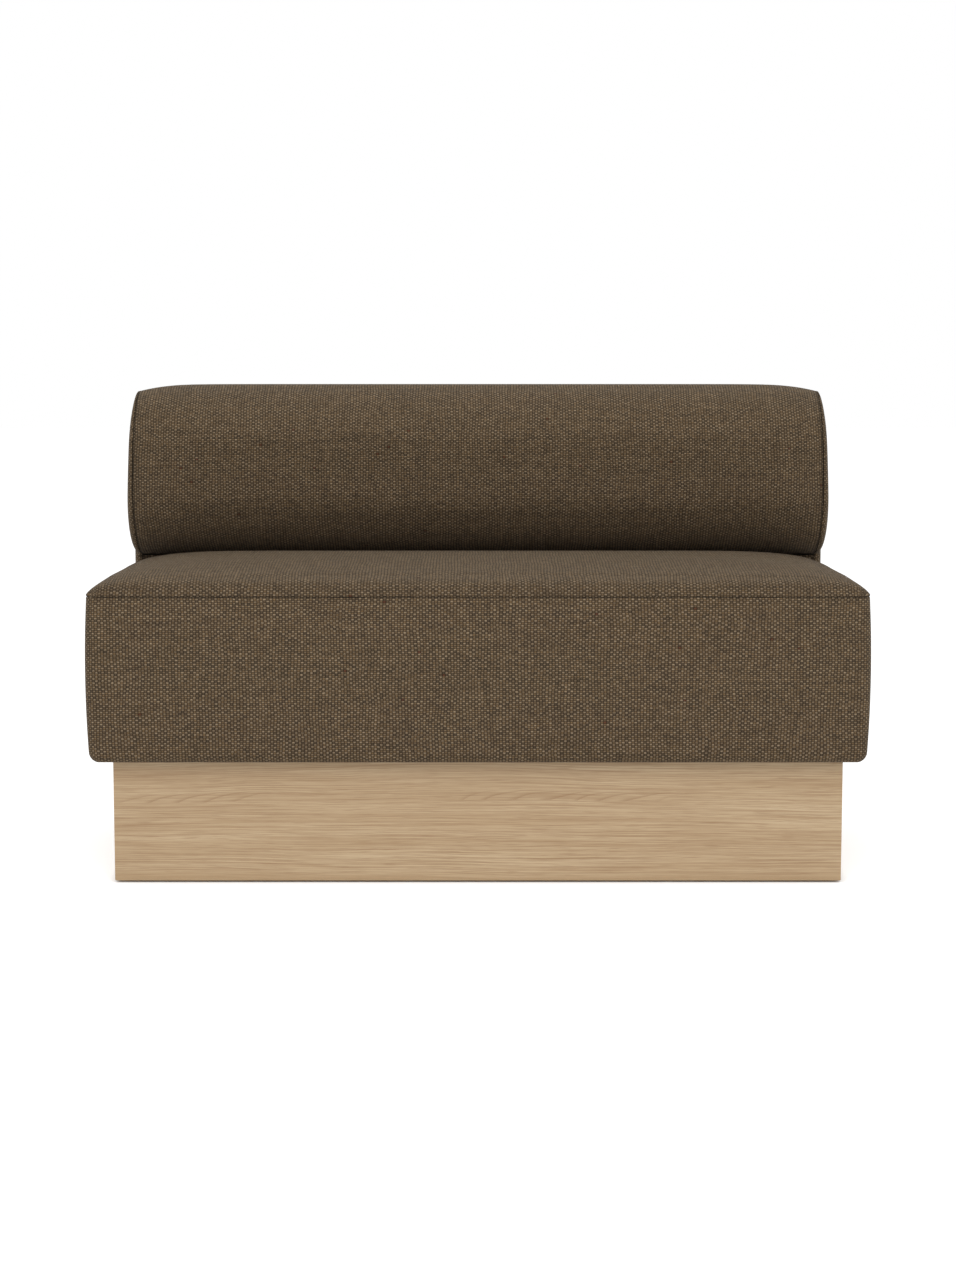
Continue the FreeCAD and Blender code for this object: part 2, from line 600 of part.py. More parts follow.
def back_outline(across, inset, foot):
    """The whole end of the back: upright part below, roll above."""
    edges, junction, last = roll_edges(across, inset, inset, 0)
    low = (junction[0], foot)
    high = (last[0], foot)
    return Part.Wire(edges + [line(across, last, high), line(across, high, low), line(across, low, junction)])


def former_outline(across):
    """A former's outline, inside the foam and the boards."""
    edges, junction, last = roll_edges(across, mm(FORMER_INSET), mm(REAR_INSET), 0)
    shoulder = (last[0], edges[4].Vertexes[-1].Point.z)
    low = (junction[0], mm(BASE_TOP))
    high = (last[0], mm(BASE_TOP))
    return Part.Wire(edges[:5] + [line(across, shoulder, high), line(across, high, low),
                                  line(across, low, junction)])


def end_loft(side, inset, lift, root):
    """A domed end: the back's outline shrinks as it stands out from the end seam, lifted off it or rooted."""
    half = mm(FRAME_X) + lift
    dome = mm("end_dome") - inset - lift
    foot = mm(COVER_FOOT) + inset
    wires = []
    for share, drawn in DOME_SHARES:
        draw = drawn * mm("end_edge")
        wires.append(back_outline(side * (half + share * dome), inset + draw, foot + draw))
    form = Part.makeLoft(wires, True, False)
    if root:
        form = form.fuse(Part.Face(wires[0]).extrude(Vector(-side * root, 0, 0)))
    return form


def base_screw_places():
    """Screws down through each angle into the base of the back, as expressions."""
    width = f"({POST_REAR} - {POST_FRONT} - 2 * bracket_margin)"
    middle = f"(({POST_FRONT} + {POST_REAR}) / 2)"
    places = []
    for face, away in bracket_faces():
        x = f"{face} + {away} * bracket_leg * {SCREW_REACH_SHARE}"
        places += [(x, f"{middle} + {sign} * {width} * {SCREW_SPREAD_SHARE}") for sign in (-1, 1)]
    return places


def bracket_faces():
    """Former faces that carry an angle, with the direction in which it stands away."""
    return [(f"(-{FRAME_X} + former_board)", 1), ("(former_board / 2)", 1),
            (f"({FRAME_X} - former_board)", -1)]


def back_frame():
    """Plywood formers with rails between them, bent and flat boards over them, and steel angles."""
    width = f"({POST_REAR} - {POST_FRONT} - 2 * bracket_margin)"
    middle = f"(({POST_FRONT} + {POST_REAR}) / 2)"
    thickness = mm("former_board")
    height = f"({BASE_TOP} + bracket_leg * {SCREW_REACH_SHARE})"
    pilot = mm("screw_diameter / 2 + fit_clearance")
    depth = mm("screw_length + fit_clearance")
    starts = {"left": f"-{FRAME_X}", "centre": "-former_board / 2", "right": f"{FRAME_X} - former_board"}
    angle = padded_outline("bracket_master", "XZ_Plane",
                           [("0", "0"), ("bracket_leg", "0"), ("bracket_leg", "bracket_plate"),
                            ("bracket_plate", "bracket_plate"), ("bracket_plate", "bracket_leg"),
                            ("0", "bracket_leg")],
                           f"-{width} / 2", width)
    spread = [f"{sign} * {width} * {SCREW_SPREAD_SHARE}" for sign in (-1, 1)]
    hole = "screw_diameter + 2 * fit_clearance"
    drill(angle, "XY_Plane", "base_holes", [(f"bracket_leg * {SCREW_REACH_SHARE}", y) for y in spread], hole,
          "bracket_plate + overrun")
    drill(angle, "YZ_Plane", "post_holes", [(y, f"bracket_leg * {SCREW_REACH_SHARE}") for y in spread], hole,
          "bracket_plate + overrun")
    screw = turned("screw_master", [("0", "-screw_length"), ("screw_diameter / 2", "-screw_length"),
                                    ("screw_diameter / 2", "bracket_plate"),
                                    ("screw_head / 2", "bracket_plate"),
                                    ("screw_diameter / 2", "bracket_plate + screw_cap"),
                                    ("0", "bracket_plate + screw_cap")])
    brackets = []
    screws = []
    holes = {name: [] for name in starts}
    for (face, away), name in zip(bracket_faces(), starts):
        turn = Rotation(Vector(0, 0, 1), 0 if away > 0 else 180)
        foot = Vector(mm(face), mm(middle), mm(BASE_TOP))
        brackets.append(placed(angle.Shape, Placement(foot, turn)))
        tilt = Rotation(Vector(0, 1, 0), 90 * away)
        for y in spread:
            side = Vector(mm(face), mm(f"{middle} + {y}"), mm(height))
            screws.append(placed(screw.Shape, Placement(side, tilt)))
            holes[name].append(Part.makeCylinder(pilot, depth, side, Vector(-away, 0, 0)))
    for x, y in base_screw_places():
        screws.append(placed(screw.Shape, Placement(Vector(mm(x), mm(y), mm(BASE_TOP)), Rotation())))
    for name, start in starts.items():
        blank = Part.Face(former_outline(mm(start))).extrude(Vector(thickness, 0, 0))
        keep(solid(f"back_former_{name}", blank.cut(holes[name])))
    group("back_brackets", brackets)
    group("bracket_screws", screws)


def placed(shape, placement):
    """A copy of a shape moved to a placement."""
    copy = shape.copy()
    copy.Placement = placement.multiply(shape.Placement)
    return copy


def back_rails():
    """Rails between the formers: along the top, behind the roll's front, and low in the upright part."""
    front = f"({ROLL_FRONT} + {FORMER_INSET})"
    top = f"({ROLL_TOP} - {FORMER_INSET})"
    spans = [(f"-{FRAME_X} + former_board", "-former_board / 2"),
             ("former_board / 2", f"{FRAME_X} - former_board")]
    sections = {
        "back_top_rails": ((f"{ROLL_FRONT} + roll_top_radius", f"{REAR} - roll_rear_radius"),
                           (f"{top} - back_rail", top)),
        "back_front_rails": ((front, f"{front} + back_rail"),
                             (f"{ROLL_FOOT} + roll_bottom_radius", f"{ROLL_TOP} - roll_top_radius")),
        "back_lower_rails": ((POST_FRONT, POST_REAR),
                             (f"{BASE_TOP} + lower_rail_lift", f"{BASE_TOP} + lower_rail_lift + back_rail")),
    }
    for label, (y, z) in sections.items():
        shapes = []
        for low, high in spans:
            corner = Vector(mm(low), mm(y[0]), mm(z[0]))
            shapes.append(Part.makeBox(mm(f"({high}) - ({low})"), mm(f"({y[1]}) - ({y[0]})"),
                                       mm(f"({z[1]}) - ({z[0]})"), corner))
        group(label, shapes)


def back_boards():
    """A bent board round the formers' heads, a flat one on the upright part and one outside."""
    half = mm(FRAME_X)
    outer = roll_edges(-half, mm(BOARD_INSET), mm(REAR_INSET), 0)[0]
    inner = roll_edges(-half, mm(FORMER_INSET), mm(REAR_INSET), 0)[0]
    ends = [(edges[0].Vertexes[0].Point, edges[3].Vertexes[-1].Point) for edges in (outer, inner)]
    caps = [Part.makeLine(ends[0][1], ends[1][1]), Part.makeLine(ends[1][0], ends[0][0])]
    strip = Part.Wire(Part.sortEdges(outer[:4] + inner[:4] + caps)[0])
    keep(solid("back_roll_board", Part.Face(strip).extrude(Vector(2 * half, 0, 0))))
    plan = (f"-{FRAME_X}", FRAME_X)
    face = f"({NECK} + {BOARD_INSET})"
    keep(box("back_neck_board", plan, (face, f"{face} + skin_board"), (BASE_TOP, ROLL_FOOT)))
    keep(box("back_rear_board", plan, (POST_REAR, f"{POST_REAR} + rear_board"),
             ("plinth_height", REAR_SEAM)))


def back_soft():
    """Foam round the roll and on the upright part, domed end pads, and the fabric panels over them."""
    skin = mm(SKIN)
    thickness = mm("cover_thickness")
    stations = roll_stations()
    foam = []
    cover = []
    for across, swell in stations:
        foam.append(foam_wire(across, swell))
        outside, first, last = roll_edges(across, 0, 0, swell)
        inside, second, end = roll_edges(across, thickness, thickness, swell)
        cover.append(Part.Wire(outside + [line(across, last, end)] + inside[::-1]
                               + [line(across, second, first)]))
    keep(solid("back_roll_foam", Part.makeLoft(foam, True, False)))
    keep(solid("back_cover_roll", Part.makeLoft(cover, True, False)))
    plan = (f"-{FRAME_X}", FRAME_X)
    under = f"({ROLL_FOOT} - soft_gap)"
    keep(box("back_neck_foam", plan, (f"{NECK} + {SKIN}", f"{NECK} + {SKIN} + roll_padding"),
             (BASE_TOP, under)))
    keep(box("back_cover_neck", plan, (NECK, f"{NECK} + cover_thickness"),
             ("plinth_height + soft_gap", under)))
    keep(box("back_rear_padding", plan, (f"{POST_REAR} + rear_board", f"{REAR} - {SKIN}"),
             ("plinth_height", REAR_SEAM)))
    keep(box("back_cover_rear", plan, (f"{REAR} - cover_thickness", REAR), (COVER_FOOT, REAR_SEAM)))
    for name, side in (("left", -1), ("right", 1)):
        keep(solid(f"back_end_pad_{name}", end_loft(side, skin, mm("soft_gap"), 0)))
        shell = end_loft(side, 0, 0, 0).cut(end_loft(side, thickness, 0, mm("overrun")))
        keep(solid(f"back_cover_end_{name}", shell))


def foam_wire(across, swell):
    """The roll's foam in section: round outside, round the bent board inside, flat below."""
    skin = mm(SKIN)
    inset = mm(f"{SKIN} + roll_padding")
    outside, first, last = roll_edges(across, skin, skin, swell)
    inside, second, end = roll_edges(across, inset, mm(REAR_INSET), 0)
    heel = (second[0], first[1])
    return Part.Wire(outside + [line(across, last, end)] + inside[::-1]
                     + [line(across, second, heel), line(across, heel, first)])


def check_and_write():
    """Stop on any failed object or bad shape, then write every sub-part."""
    doc.recompute()
    for thing in doc.Objects:
        if any(state in ("Invalid", "Error") for state in thing.State):
            raise RuntimeError(f"{thing.Label} failed: {thing.State}")
    os.makedirs("parts", exist_ok=True)
    for piece in pieces:
        shape = piece.Shape
        if shape.isNull() or not shape.isValid() or not shape.Solids:
            raise RuntimeError(f"{piece.Label} has no valid solid")
    for piece in pieces:
        piece.Shape.exportStep(f"parts/{piece.Label}.step")
    print(len(pieces), "sub-parts,", sum(len(piece.Shape.Solids) for piece in pieces), "solids")


plinth()
battens()
glides()
seat_frame()
seat_soft()
back_frame()
back_rails()
back_boards()
back_soft()
check_and_write()
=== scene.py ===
import math

import bmesh
import bpy
import numpy as np
from bpy.props import FloatProperty, FloatVectorProperty, IntProperty, PointerProperty
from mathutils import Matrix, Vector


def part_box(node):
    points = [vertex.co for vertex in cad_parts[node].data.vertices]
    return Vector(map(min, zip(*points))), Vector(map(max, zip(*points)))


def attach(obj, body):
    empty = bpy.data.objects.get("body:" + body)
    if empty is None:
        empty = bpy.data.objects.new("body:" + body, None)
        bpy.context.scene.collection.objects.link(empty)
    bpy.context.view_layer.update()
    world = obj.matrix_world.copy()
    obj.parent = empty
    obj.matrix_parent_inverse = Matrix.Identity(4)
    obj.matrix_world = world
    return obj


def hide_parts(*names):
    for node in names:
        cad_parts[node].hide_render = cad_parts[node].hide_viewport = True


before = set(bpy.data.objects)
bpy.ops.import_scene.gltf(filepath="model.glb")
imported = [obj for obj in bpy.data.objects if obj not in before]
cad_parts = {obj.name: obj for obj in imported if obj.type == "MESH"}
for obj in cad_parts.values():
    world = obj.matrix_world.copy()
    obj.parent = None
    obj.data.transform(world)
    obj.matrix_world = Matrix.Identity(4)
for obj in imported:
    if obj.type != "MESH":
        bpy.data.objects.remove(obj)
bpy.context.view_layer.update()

bl_info = {
    "name": "Dining Sofa Upholstery",
    "version": (1, 0, 0),
    "blender": (4, 5, 0),
    "location": "View3D > Sidebar > Sofa",
    "description": "Woven upholstery, oak plinth and studio stage for a dining sofa",
    "category": "Add Mesh",
}

# Boxes of the whole CAD model and of the nodes that the covers follow
TOP_LOW, TOP_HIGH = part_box("seat_cover_top")
BORDER_LOW, BORDER_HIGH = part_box("seat_cover_border")
ROLL_LOW, ROLL_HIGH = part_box("back_cover_roll")
END_LOW, END_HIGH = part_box("back_cover_end_right")
NECK_LOW, NECK_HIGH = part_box("back_cover_neck")
REAR_LOW, REAR_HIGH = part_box("back_cover_rear")
PLINTH_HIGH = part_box("plinth_back_board")[1]

# Names of the body, the fabric, its map and the painted shade near its seams
SOFA = "sofa"
FABRIC_LOOK = "woven_upholstery"
WEAVE_MAP = "weave"
SEAM_SHADE = "seam_shade"

# Rows of mesh points in each stretch of a shape
SEAM_ROWS = 6
LIP_ROWS = 9
ROUNDING_ROWS = 5
CORNER_ROWS = 9
BOTTOM_ROWS = 7
FLANGE_ROWS = 3
ARC_ROWS = 40
LINE_ROWS = 20
NECK_ROWS = 34
END_COLUMNS = 16
END_SEAM_ROWS = 7
DOME_ROWS = 14
TOP_LINE_START = 2 * (ARC_ROWS - 1) + LINE_ROWS - 1
TOP_LINE_END = TOP_LINE_START + LINE_ROWS - 1

# Distance within which points are welded, and least length that a normal is divided by
WELD_DISTANCE = 1e-6
SHORTEST_NORMAL = 1e-12

# Simulation: frames, the cloth's settings, reach of the pins in seam radii, and blurs of the result
SIMULATED_FRAMES = 20
CLOTH = {"quality": 5, "mass": 0.3, "air_damping": 5, "tension_stiffness": 40, "compression_stiffness": 40,
         "shear_stiffness": 10, "bending_stiffness": 2}
PINNED_RADII = 2
BLURS = 2

# Painted shade in the grooves at the seams: where it ends and the width over which it fades, in groove radii
SHADE_END = 1.4
SHADE_FADE = 0.9

# Painted groove shade: radius on the seat's top and side in seam radii, side rows that show it, back strength
TOP_GROOVE_SHADE = 1.6
SIDE_GROOVE_SHADE = 0.8
SIDE_SHADE_ROWS = 12
BACK_GROOVE_SHADE = 0.7

# Seat: spacing of rows towards a corner's rounding, spread of the hollow's painted shade in hollows, shares of
# the depth where the crown's ends start to soften and over which they do, and quickness of the cloth's sag
ROUNDING_POWER = 1.4
HOLLOW_SPREAD = 0.8
SOFTENING_START = 0.4
SOFTENING_SPAN = 0.43
SAG_QUICKNESS = 4

# Back: moves of the roll's section in Y and Z, as shares of its swell, where its six stretches meet
SWELL_MOVES = [(0, 0), (-1, 0), (-1, 0.5), (-0.7, 1), (0, 1), (0, 0.6), (0, 0)]

# Weave: scale, detail and reach of the yarns' drift and of their slubs, and scale and detail of their fibres,
# per metre of cloth
YARN_DRIFT = (14.0, 2.0, (0.008, 0.006, 0.0))
YARN_SLUBS = (260.0, 1.0, (0.0016, 0.0012, 0.0))
YARN_FIBRE = (2600.0, 2.0)

# Weave: powers that fill the nubs along their yarns, height of the warp beside the weft, change of a yarn's
# tone from nub to nub and from yarn to yarn, and share of the nubs that aren't red
WEFT_POWER = 0.8
WARP_POWER = 0.6
WARP_HEIGHT = 0.8
TONE_RUN = 0.03
TONE_STEP = 0.71
COMMON_NUBS = 0.9993

# Weave: light left in painted gap shade, spread of fibres' and yarns' tones, painted groove shade, and the
# finish
GAP_SHADE = 0.16
FIBRE_TONE = 0.5
WEFT_TONE = 0.5
WARP_TONE = 0.36
PAINTED_GROOVE_SHADE = 0.85
FIBRE_RELIEF = 0.12
FABRIC_ROUGHNESS = 0.9
FABRIC_RELIEF = 0.8
FABRIC_GLOSS = 0.15
SHEEN_ROUGHNESS = 0.36
SHEEN_TINT = (0.84, 0.76, 0.63)

# Oak: scale, detail and roughness of its noises, per metre along, across and up, and height of its waves
GRAIN_WAVE = ((1.6, 1.6, 7.0), 2.0, 0.5)
GRAINS = {"band": ((1.3, 1.3, 36.0), 2.0, 0.5), "streak": ((3.2, 3.2, 600.0), 4.0, 0.7),
          "fibre": ((9.0, 9.0, 1500.0), 3.0, 0.6), "pores": ((26.0, 26.0, 1300.0), 1.0, 0.5)}
WAVE_HEIGHT = 0.03

# Oak: each stain's grain, the values between which it sets in, its strength and its colour
STAINS = [("band", 0.3, 0.7, 0.62, "tan"), ("streak", 0.38, 0.64, 0.9, "tan"),
          ("streak", 0.53, 0.70, 0.55, "pore"), ("fibre", 0.48, 0.68, 0.62, "pore"),
          ("pores", 0.56, 0.7, 0.45, "pore")]

# Oak: share of the foot band where its painted shade is full, strength of that and of the arcs, and the finish
FOOT_FULL = 0.2
FOOT_SHADE = 0.70
ARC_STAIN = 0.5
OAK_ROUGHNESS = 0.48
OAK_ROUGHNESS_SPREAD = 0.12
OAK_DEPTH = 0.0003
OAK_RELIEF = 0.35
OAK_GLOSS = 0.35

# Oak: where the cathedral arcs set in and end as shares of their rise, the least share left to climb, their
# jitter, the distances at which a group fades, and the edge of an arc as shares of the gap
ARC_FOOT = (0.0, 0.12)
ARC_TOP = (1.0, 0.75)
ARC_FLATTEST = 0.02
ARC_NOISE = (11.0, 1.0)
ARC_JITTER = 0.06
LEFT_REACH = (0.12, 0.07)
RIGHT_REACH = (0.19, 0.12)
ARC_EDGE = (0.6, 0.97)

# Plain stuffs: dark and pale colour, noise per metre along, across and up, roughness, and depth of the relief
STUFFS = {
    "pine_lengthwise": ((0.42, 0.27, 0.13), (0.62, 0.46, 0.27), (4, 60, 60), 0.6, 0.0002),
    "pine_crosswise": ((0.42, 0.27, 0.13), (0.62, 0.46, 0.27), (60, 4, 60), 0.6, 0.0002),
    "birch_plywood": ((0.50, 0.36, 0.20), (0.68, 0.54, 0.36), (5, 40, 400), 0.55, 0.0002),
    "hardboard": ((0.10, 0.06, 0.035), (0.19, 0.12, 0.07), (300, 300, 300), 0.7, 0.0002),
    "elastic_webbing": ((0.03, 0.03, 0.03), (0.32, 0.30, 0.26), (220, 220, 40), 0.8, 0.0002),
    "zinc_steel": ((0.42, 0.42, 0.40), (0.62, 0.61, 0.58), (120, 120, 120), 0.34, 0.00003),
    "black_nylon": ((0.010, 0.010, 0.011), (0.030, 0.030, 0.032), (260, 260, 260), 0.5, 0.0002),
    "dust_cloth": ((0.012, 0.012, 0.012), (0.035, 0.035, 0.036), (900, 900, 60), 0.9, 0.0003),
}

# Plain stuffs: detail and roughness of the noise, where its pale side sets in, spread of the gloss, relief
MOTTLE = (4.0, 0.6)
MOTTLE_EDGE = (0.3, 0.7)
MOTTLE_GLOSS = 0.2
MOTTLE_RELIEF = 0.5

# Stage: place, turn and size of the softboxes, and samples of the floor's contact shade
TOP_SOFTBOX = {"place": (0.0, -0.6, 3.2), "turn": (0.0, 0.0, 0.0), "size": (3.0, 2.4)}
FRONT_SOFTBOX = {"place": (0.0, -2.9, 2.4), "turn": (math.radians(54), 0.0, 0.0), "size": (3.4, 2.0)}
CONTACT_SAMPLES = 8


def number(name, description, default, **options):
    """A number that a user may change."""
    return FloatProperty(name=name, description=description, default=default, **options)


def length(name, description, default):
    """A length that a user may change, in metres."""
    return number(name, description, default, min=0.0, unit="LENGTH", precision=4)


def share(name, description, default):
    """A share between nothing and all."""
    return number(name, description, default, min=0.0, max=1.0, subtype="FACTOR")


def angle(name, description, degrees):
    """An angle that a user may change, given in degrees."""
    return number(name, description, math.radians(degrees), subtype="ANGLE")


def colour(name, description, default):
    """A linear colour that a user may change."""
    return FloatVectorProperty(name=name, description=description, default=default, size=3, min=0.0, max=1.0,
                               subtype="COLOR")


class SofaSewing(bpy.types.PropertyGroup):
    """How the covers are sewn and stuffed."""

    seam_radius: length("Seam radius", "Rounding of a panel where it dives into a plain seam", 0.0018)
    lip_radius: length("Lip radius", "Radius of the seat top's edge roll", 0.0026)
    lip_centre: length("Lip centre", "Middle of the seat top's edge roll, in from the seam", 0.0020)
    lip_rise: length("Lip rise", "Middle of the seat top's edge roll, above the seam", 0.0022)
    lip_hollow: length("Lip hollow", "Distance from the seam to the hollow behind the edge roll", 0.010)
    # Painted shade: how far the fabric's colour is darkened in the hollow behind the edge roll
    lip_shade: share("Lip shade", "Darkness of that hollow", 0.13)
    lip_turn: angle("Lip turn", "Angle at which the edge roll runs into the crown", 55)
    mesh_step: length("Mesh step", "Widest spacing of the mesh", 0.006)
    stride: IntProperty(name="Stride", description="Mesh rows from one simulated row to the next", default=3,
                        min=1)
    ease: length("Ease", "Distance from a seam over which a panel comes free to swell", 0.030)
    air: number("Air", "Pressure that swells the panels in the simulation", 4.0)
    slack: length("Slack", "Furthest that a point may move in the simulation", 0.0015)


class SofaSeat(bpy.types.PropertyGroup):
    """The boxed seat."""

    corner: length("Corner", "Rounding of the upright corners", 0.018)
    fullness: length("Fullness", "How far the stuffed seat stands out past its pattern", 0.002)
    seam_draw: length("Seam draw", "How far the seam pulls the sides in", 0.003)
    side_taper: length("Side taper", "How far the sides draw in at the bottom", 0.0035)
    bottom_radius: length("Bottom radius", "Rounding along the bottom edge", 0.0175)
    flange: length("Flange", "Fabric turned in under the seat", 0.034)
    wall: length("Wall", "Depth of the padded side", 0.028)
    end_reach: length("End reach", "Length over which the crown's ends rise at the front", 0.050)
    end_reach_rear: length("Rear end reach", "Length over which the crown's ends rise at the rear", 0.0705)
    end_power: number("End power", "Softness of the crown's ends at the front", 0.74)
    end_power_rear: number("Rear end power", "Softness of the crown's ends at the rear", 0.84)
    front_reach: length("Front reach", "Depth over which the front roll rises", 0.0085)
    rear_reach: length("Rear reach", "Depth over which the rear edge rises", 0.030)
    front_roll: share("Front roll", "Share of the crown that the front roll takes", 0.46)
    rear_roll: share("Rear roll", "Share of the crown that the rear edge takes", 0.75)
    corner_power: number("Corner power", "Fullness of the crown at the corners", 4.0)
    cloth_sag: length("Cloth sag", "How far the dust cloth hangs below its staples", 0.006)
    cloth_thickness: length("Cloth thickness", "Thickness of the dust cloth", 0.0007)
    staple_gap: length("Staple gap", "Distance from staple to staple along the dust cloth", 0.060)
    pucker: length("Pucker", "Depth of the dust cloth's puckers", 0.0025)


class SofaBack(bpy.types.PropertyGroup):
    """The rolled back."""

    swell: length("Swell", "Extra swell of the roll between its end seams", 0.011)
    swell_reach: length("Swell reach", "Length over which the roll swells from an end seam", 0.033)
    bottom_radius: length("Bottom radius", "Lower front curve of the roll", 0.110)
    top_radius: length("Top radius", "Upper front curve of the roll", 0.091)
    rear_radius: length("Rear radius", "Upper rear curve of the roll", 0.060)
    dome_edge: length("Dome edge", "Width over which the end panels swell", 0.040)
    dome_power: number("Dome power", "Fullness of the end panels", 2.3)
    dome_top: number("Dome at the top", "Swell of the end panels at the top", 0.28)
    dome_growth: number("Dome growth", "Growth of their swell from the top down", 1.67)
    dome_slowing: number("Dome slowing", "Slowing of that growth", 0.78)
    lean: length("Seam lean", "How far the end seams lean out along the roll", 0.0022)
    lean_level: share("Lean level", "Share of the roll, from its top, where the end seams don't lean", 0.33)
    panel_depth: length("Panel depth", "Depth of the flat panels' padding", 0.006)
    hem_thickness: length("Hem thickness", "Thickness of the fabric turned in under the back", 0.002)
    hem_gap: length("Hem gap", "From that fabric to the plinth", 0.001)
    hem_lap: length("Hem lap", "How far that fabric reaches into the panel it belongs to", 0.0005)


class SofaWeave(bpy.types.PropertyGroup):
    """The upholstery fabric."""

    nub_width: length("Nub width", "Column spacing of the weave", 0.00468)
    nub_height: length("Nub height", "Row spacing of the weave", 0.0032)
    pale: colour("Pale yarn", "Lightest of the beige weft", (0.312, 0.230, 0.147))
    beige: colour("Beige yarn", "Darkest of the beige weft", (0.190, 0.133, 0.080))
    amber: colour("Amber yarn", "Brightest of the golden warp", (0.205, 0.131, 0.065))
    umber: colour("Umber yarn", "Darkest of the golden warp", (0.100, 0.069, 0.040))
    fleck: colour("Red fleck", "Rare red nub", (0.130, 0.055, 0.030))
    drawn: FloatVectorProperty(name="Drawn", default=(1.03, 1.10), size=2,
                               description="How much closer the yarns lie on the roll, across and down")
    bump: length("Bump", "Height of a nub", 0.0013)
    sheen: share("Sheen", "Fuzz at grazing angles", 0.09)


class SofaOak(bpy.types.PropertyGroup):
    """The plinth's veneer."""

    pale: colour("Pale oak", "Early wood", (0.566, 0.432, 0.275))
    tan: colour("Tan oak", "Late wood", (0.412, 0.282, 0.159))
    pore: colour("Pore", "Open pores and cathedral lines", (0.275, 0.160, 0.080))
    # Painted shade: the foot band darkens the veneer towards its foot
    foot_band: length("Foot band", "Height of the darker band along the foot of the veneer", 0.024)
    cathedral_height: length("Cathedral height", "Height of the cathedral arcs' feet", 0.125)
    cathedral_rise: length("Cathedral rise", "Rise of the cathedral arcs", 0.020)
    cathedral_run: length("Cathedral run", "Length over which an arc flattens", 0.042)
    cathedral_gap: length("Cathedral gap", "Spacing of the cathedral arcs", 0.043)
    cathedral_left: number("Left figure", "Middle of the left group of arcs", -0.47, unit="LENGTH")
    cathedral_right: number("Right figure", "Middle of the right group of arcs", 0.11, unit="LENGTH")


class SofaStage(bpy.types.PropertyGroup):
    """Camera, floor and light."""

    lens: number("Lens", "Focal length in millimetres", 70.0)
    camera_distance: length("Camera distance", "Camera in front of the middle of the sofa", 4.0488)
    camera_height: length("Camera height", "Camera above the floor", 0.8368)
    camera_pitch: angle("Camera pitch", "Tilt from straight down", 83.19)
    floor_size: length("Floor size", "Side of the square floor", 40.0)
    floor_white: colour("Floor white", "Painted floor", (0.90, 0.90, 0.90))
    floor_lift: share("Floor lift", "Brightness that the camera sees beside the light on the floor", 0.40)
    contact: length("Contact", "Distance within which what stands on the floor darkens it", 0.02)
    room_light: number("Room light", "Even light of the white room", 0.80)
    top_light: number("Top light", "Watts of the softbox above", 17.0)
    front_light: number("Front light", "Watts of the softbox in front", 45.0)


def settings(name):
    """One of the add-on's groups of values, as held by the scene."""
    return getattr(bpy.context.scene, name)


# Curves and grids

def edge_spacing(span):
    """Places from 0 to span: a quarter circle's insets at each end, and even steps between them."""
    sewing = settings("sofa_sewing")
    radius = sewing.seam_radius
    quarter = radius * (1 - np.cos(np.linspace(0, math.pi / 2, SEAM_ROWS)))
    count = max(2, int(math.ceil((span - 2 * radius) / sewing.mesh_step)) + 1)
    middle = np.linspace(radius, span - radius, count)
    return np.concatenate([quarter[:-1], middle, span - quarter[-2::-1]])


def seam_depth(inset):
    """Depth of a sewn edge below the panel's face: a quarter circle that dives in at the seam."""
    radius = settings("sofa_sewing").seam_radius
    near = np.clip(1 - inset / radius, 0, 1)
    return radius * (1 - np.sqrt(np.clip(1 - near ** 2, 0, 1)))


def seam_shade(inset, radius):
    """Painted shade of a groove at an inset from its seam: full near the seam, then falling in a straight
    line to none at the shade's end."""
    return np.clip((SHADE_END - inset / radius) / SHADE_FADE, 0, 1)


def run_length(points):
    """Distance along a row of points, from 0 at the first."""
    steps = np.linalg.norm(np.diff(points, axis=0), axis=1)
    return np.concatenate([[0.0], np.cumsum(steps)])


def arc_points(centre, radius, start, end, count):
    """Points of a circular arc in the plane of Y and Z, between angles from +Y towards +Z."""
    turn = np.linspace(start, end, count)
    return np.stack([centre[0] + radius * np.cos(turn), centre[1] + radius * np.sin(turn)], axis=1)


def to_rim(across, along):
    """Distance from each point of a flat grid to its nearest side, for places counted from 0 both ways."""
    return np.minimum(np.minimum(across, across[-1] - across)[None, :],
                      np.minimum(along, along[-1] - along)[:, None])


def grid_normals(points, around=False):
    """Unit normals of a grid of points from the cross product of its two directions; around closes its
    columns."""
    if around:
        across = np.roll(points, -1, axis=1) - np.roll(points, 1, axis=1)
    else:
        across = np.gradient(points, axis=1)
    normals = np.cross(across, np.gradient(points, axis=0))
    return normals / np.maximum(np.linalg.norm(normals, axis=2, keepdims=True), SHORTEST_NORMAL)


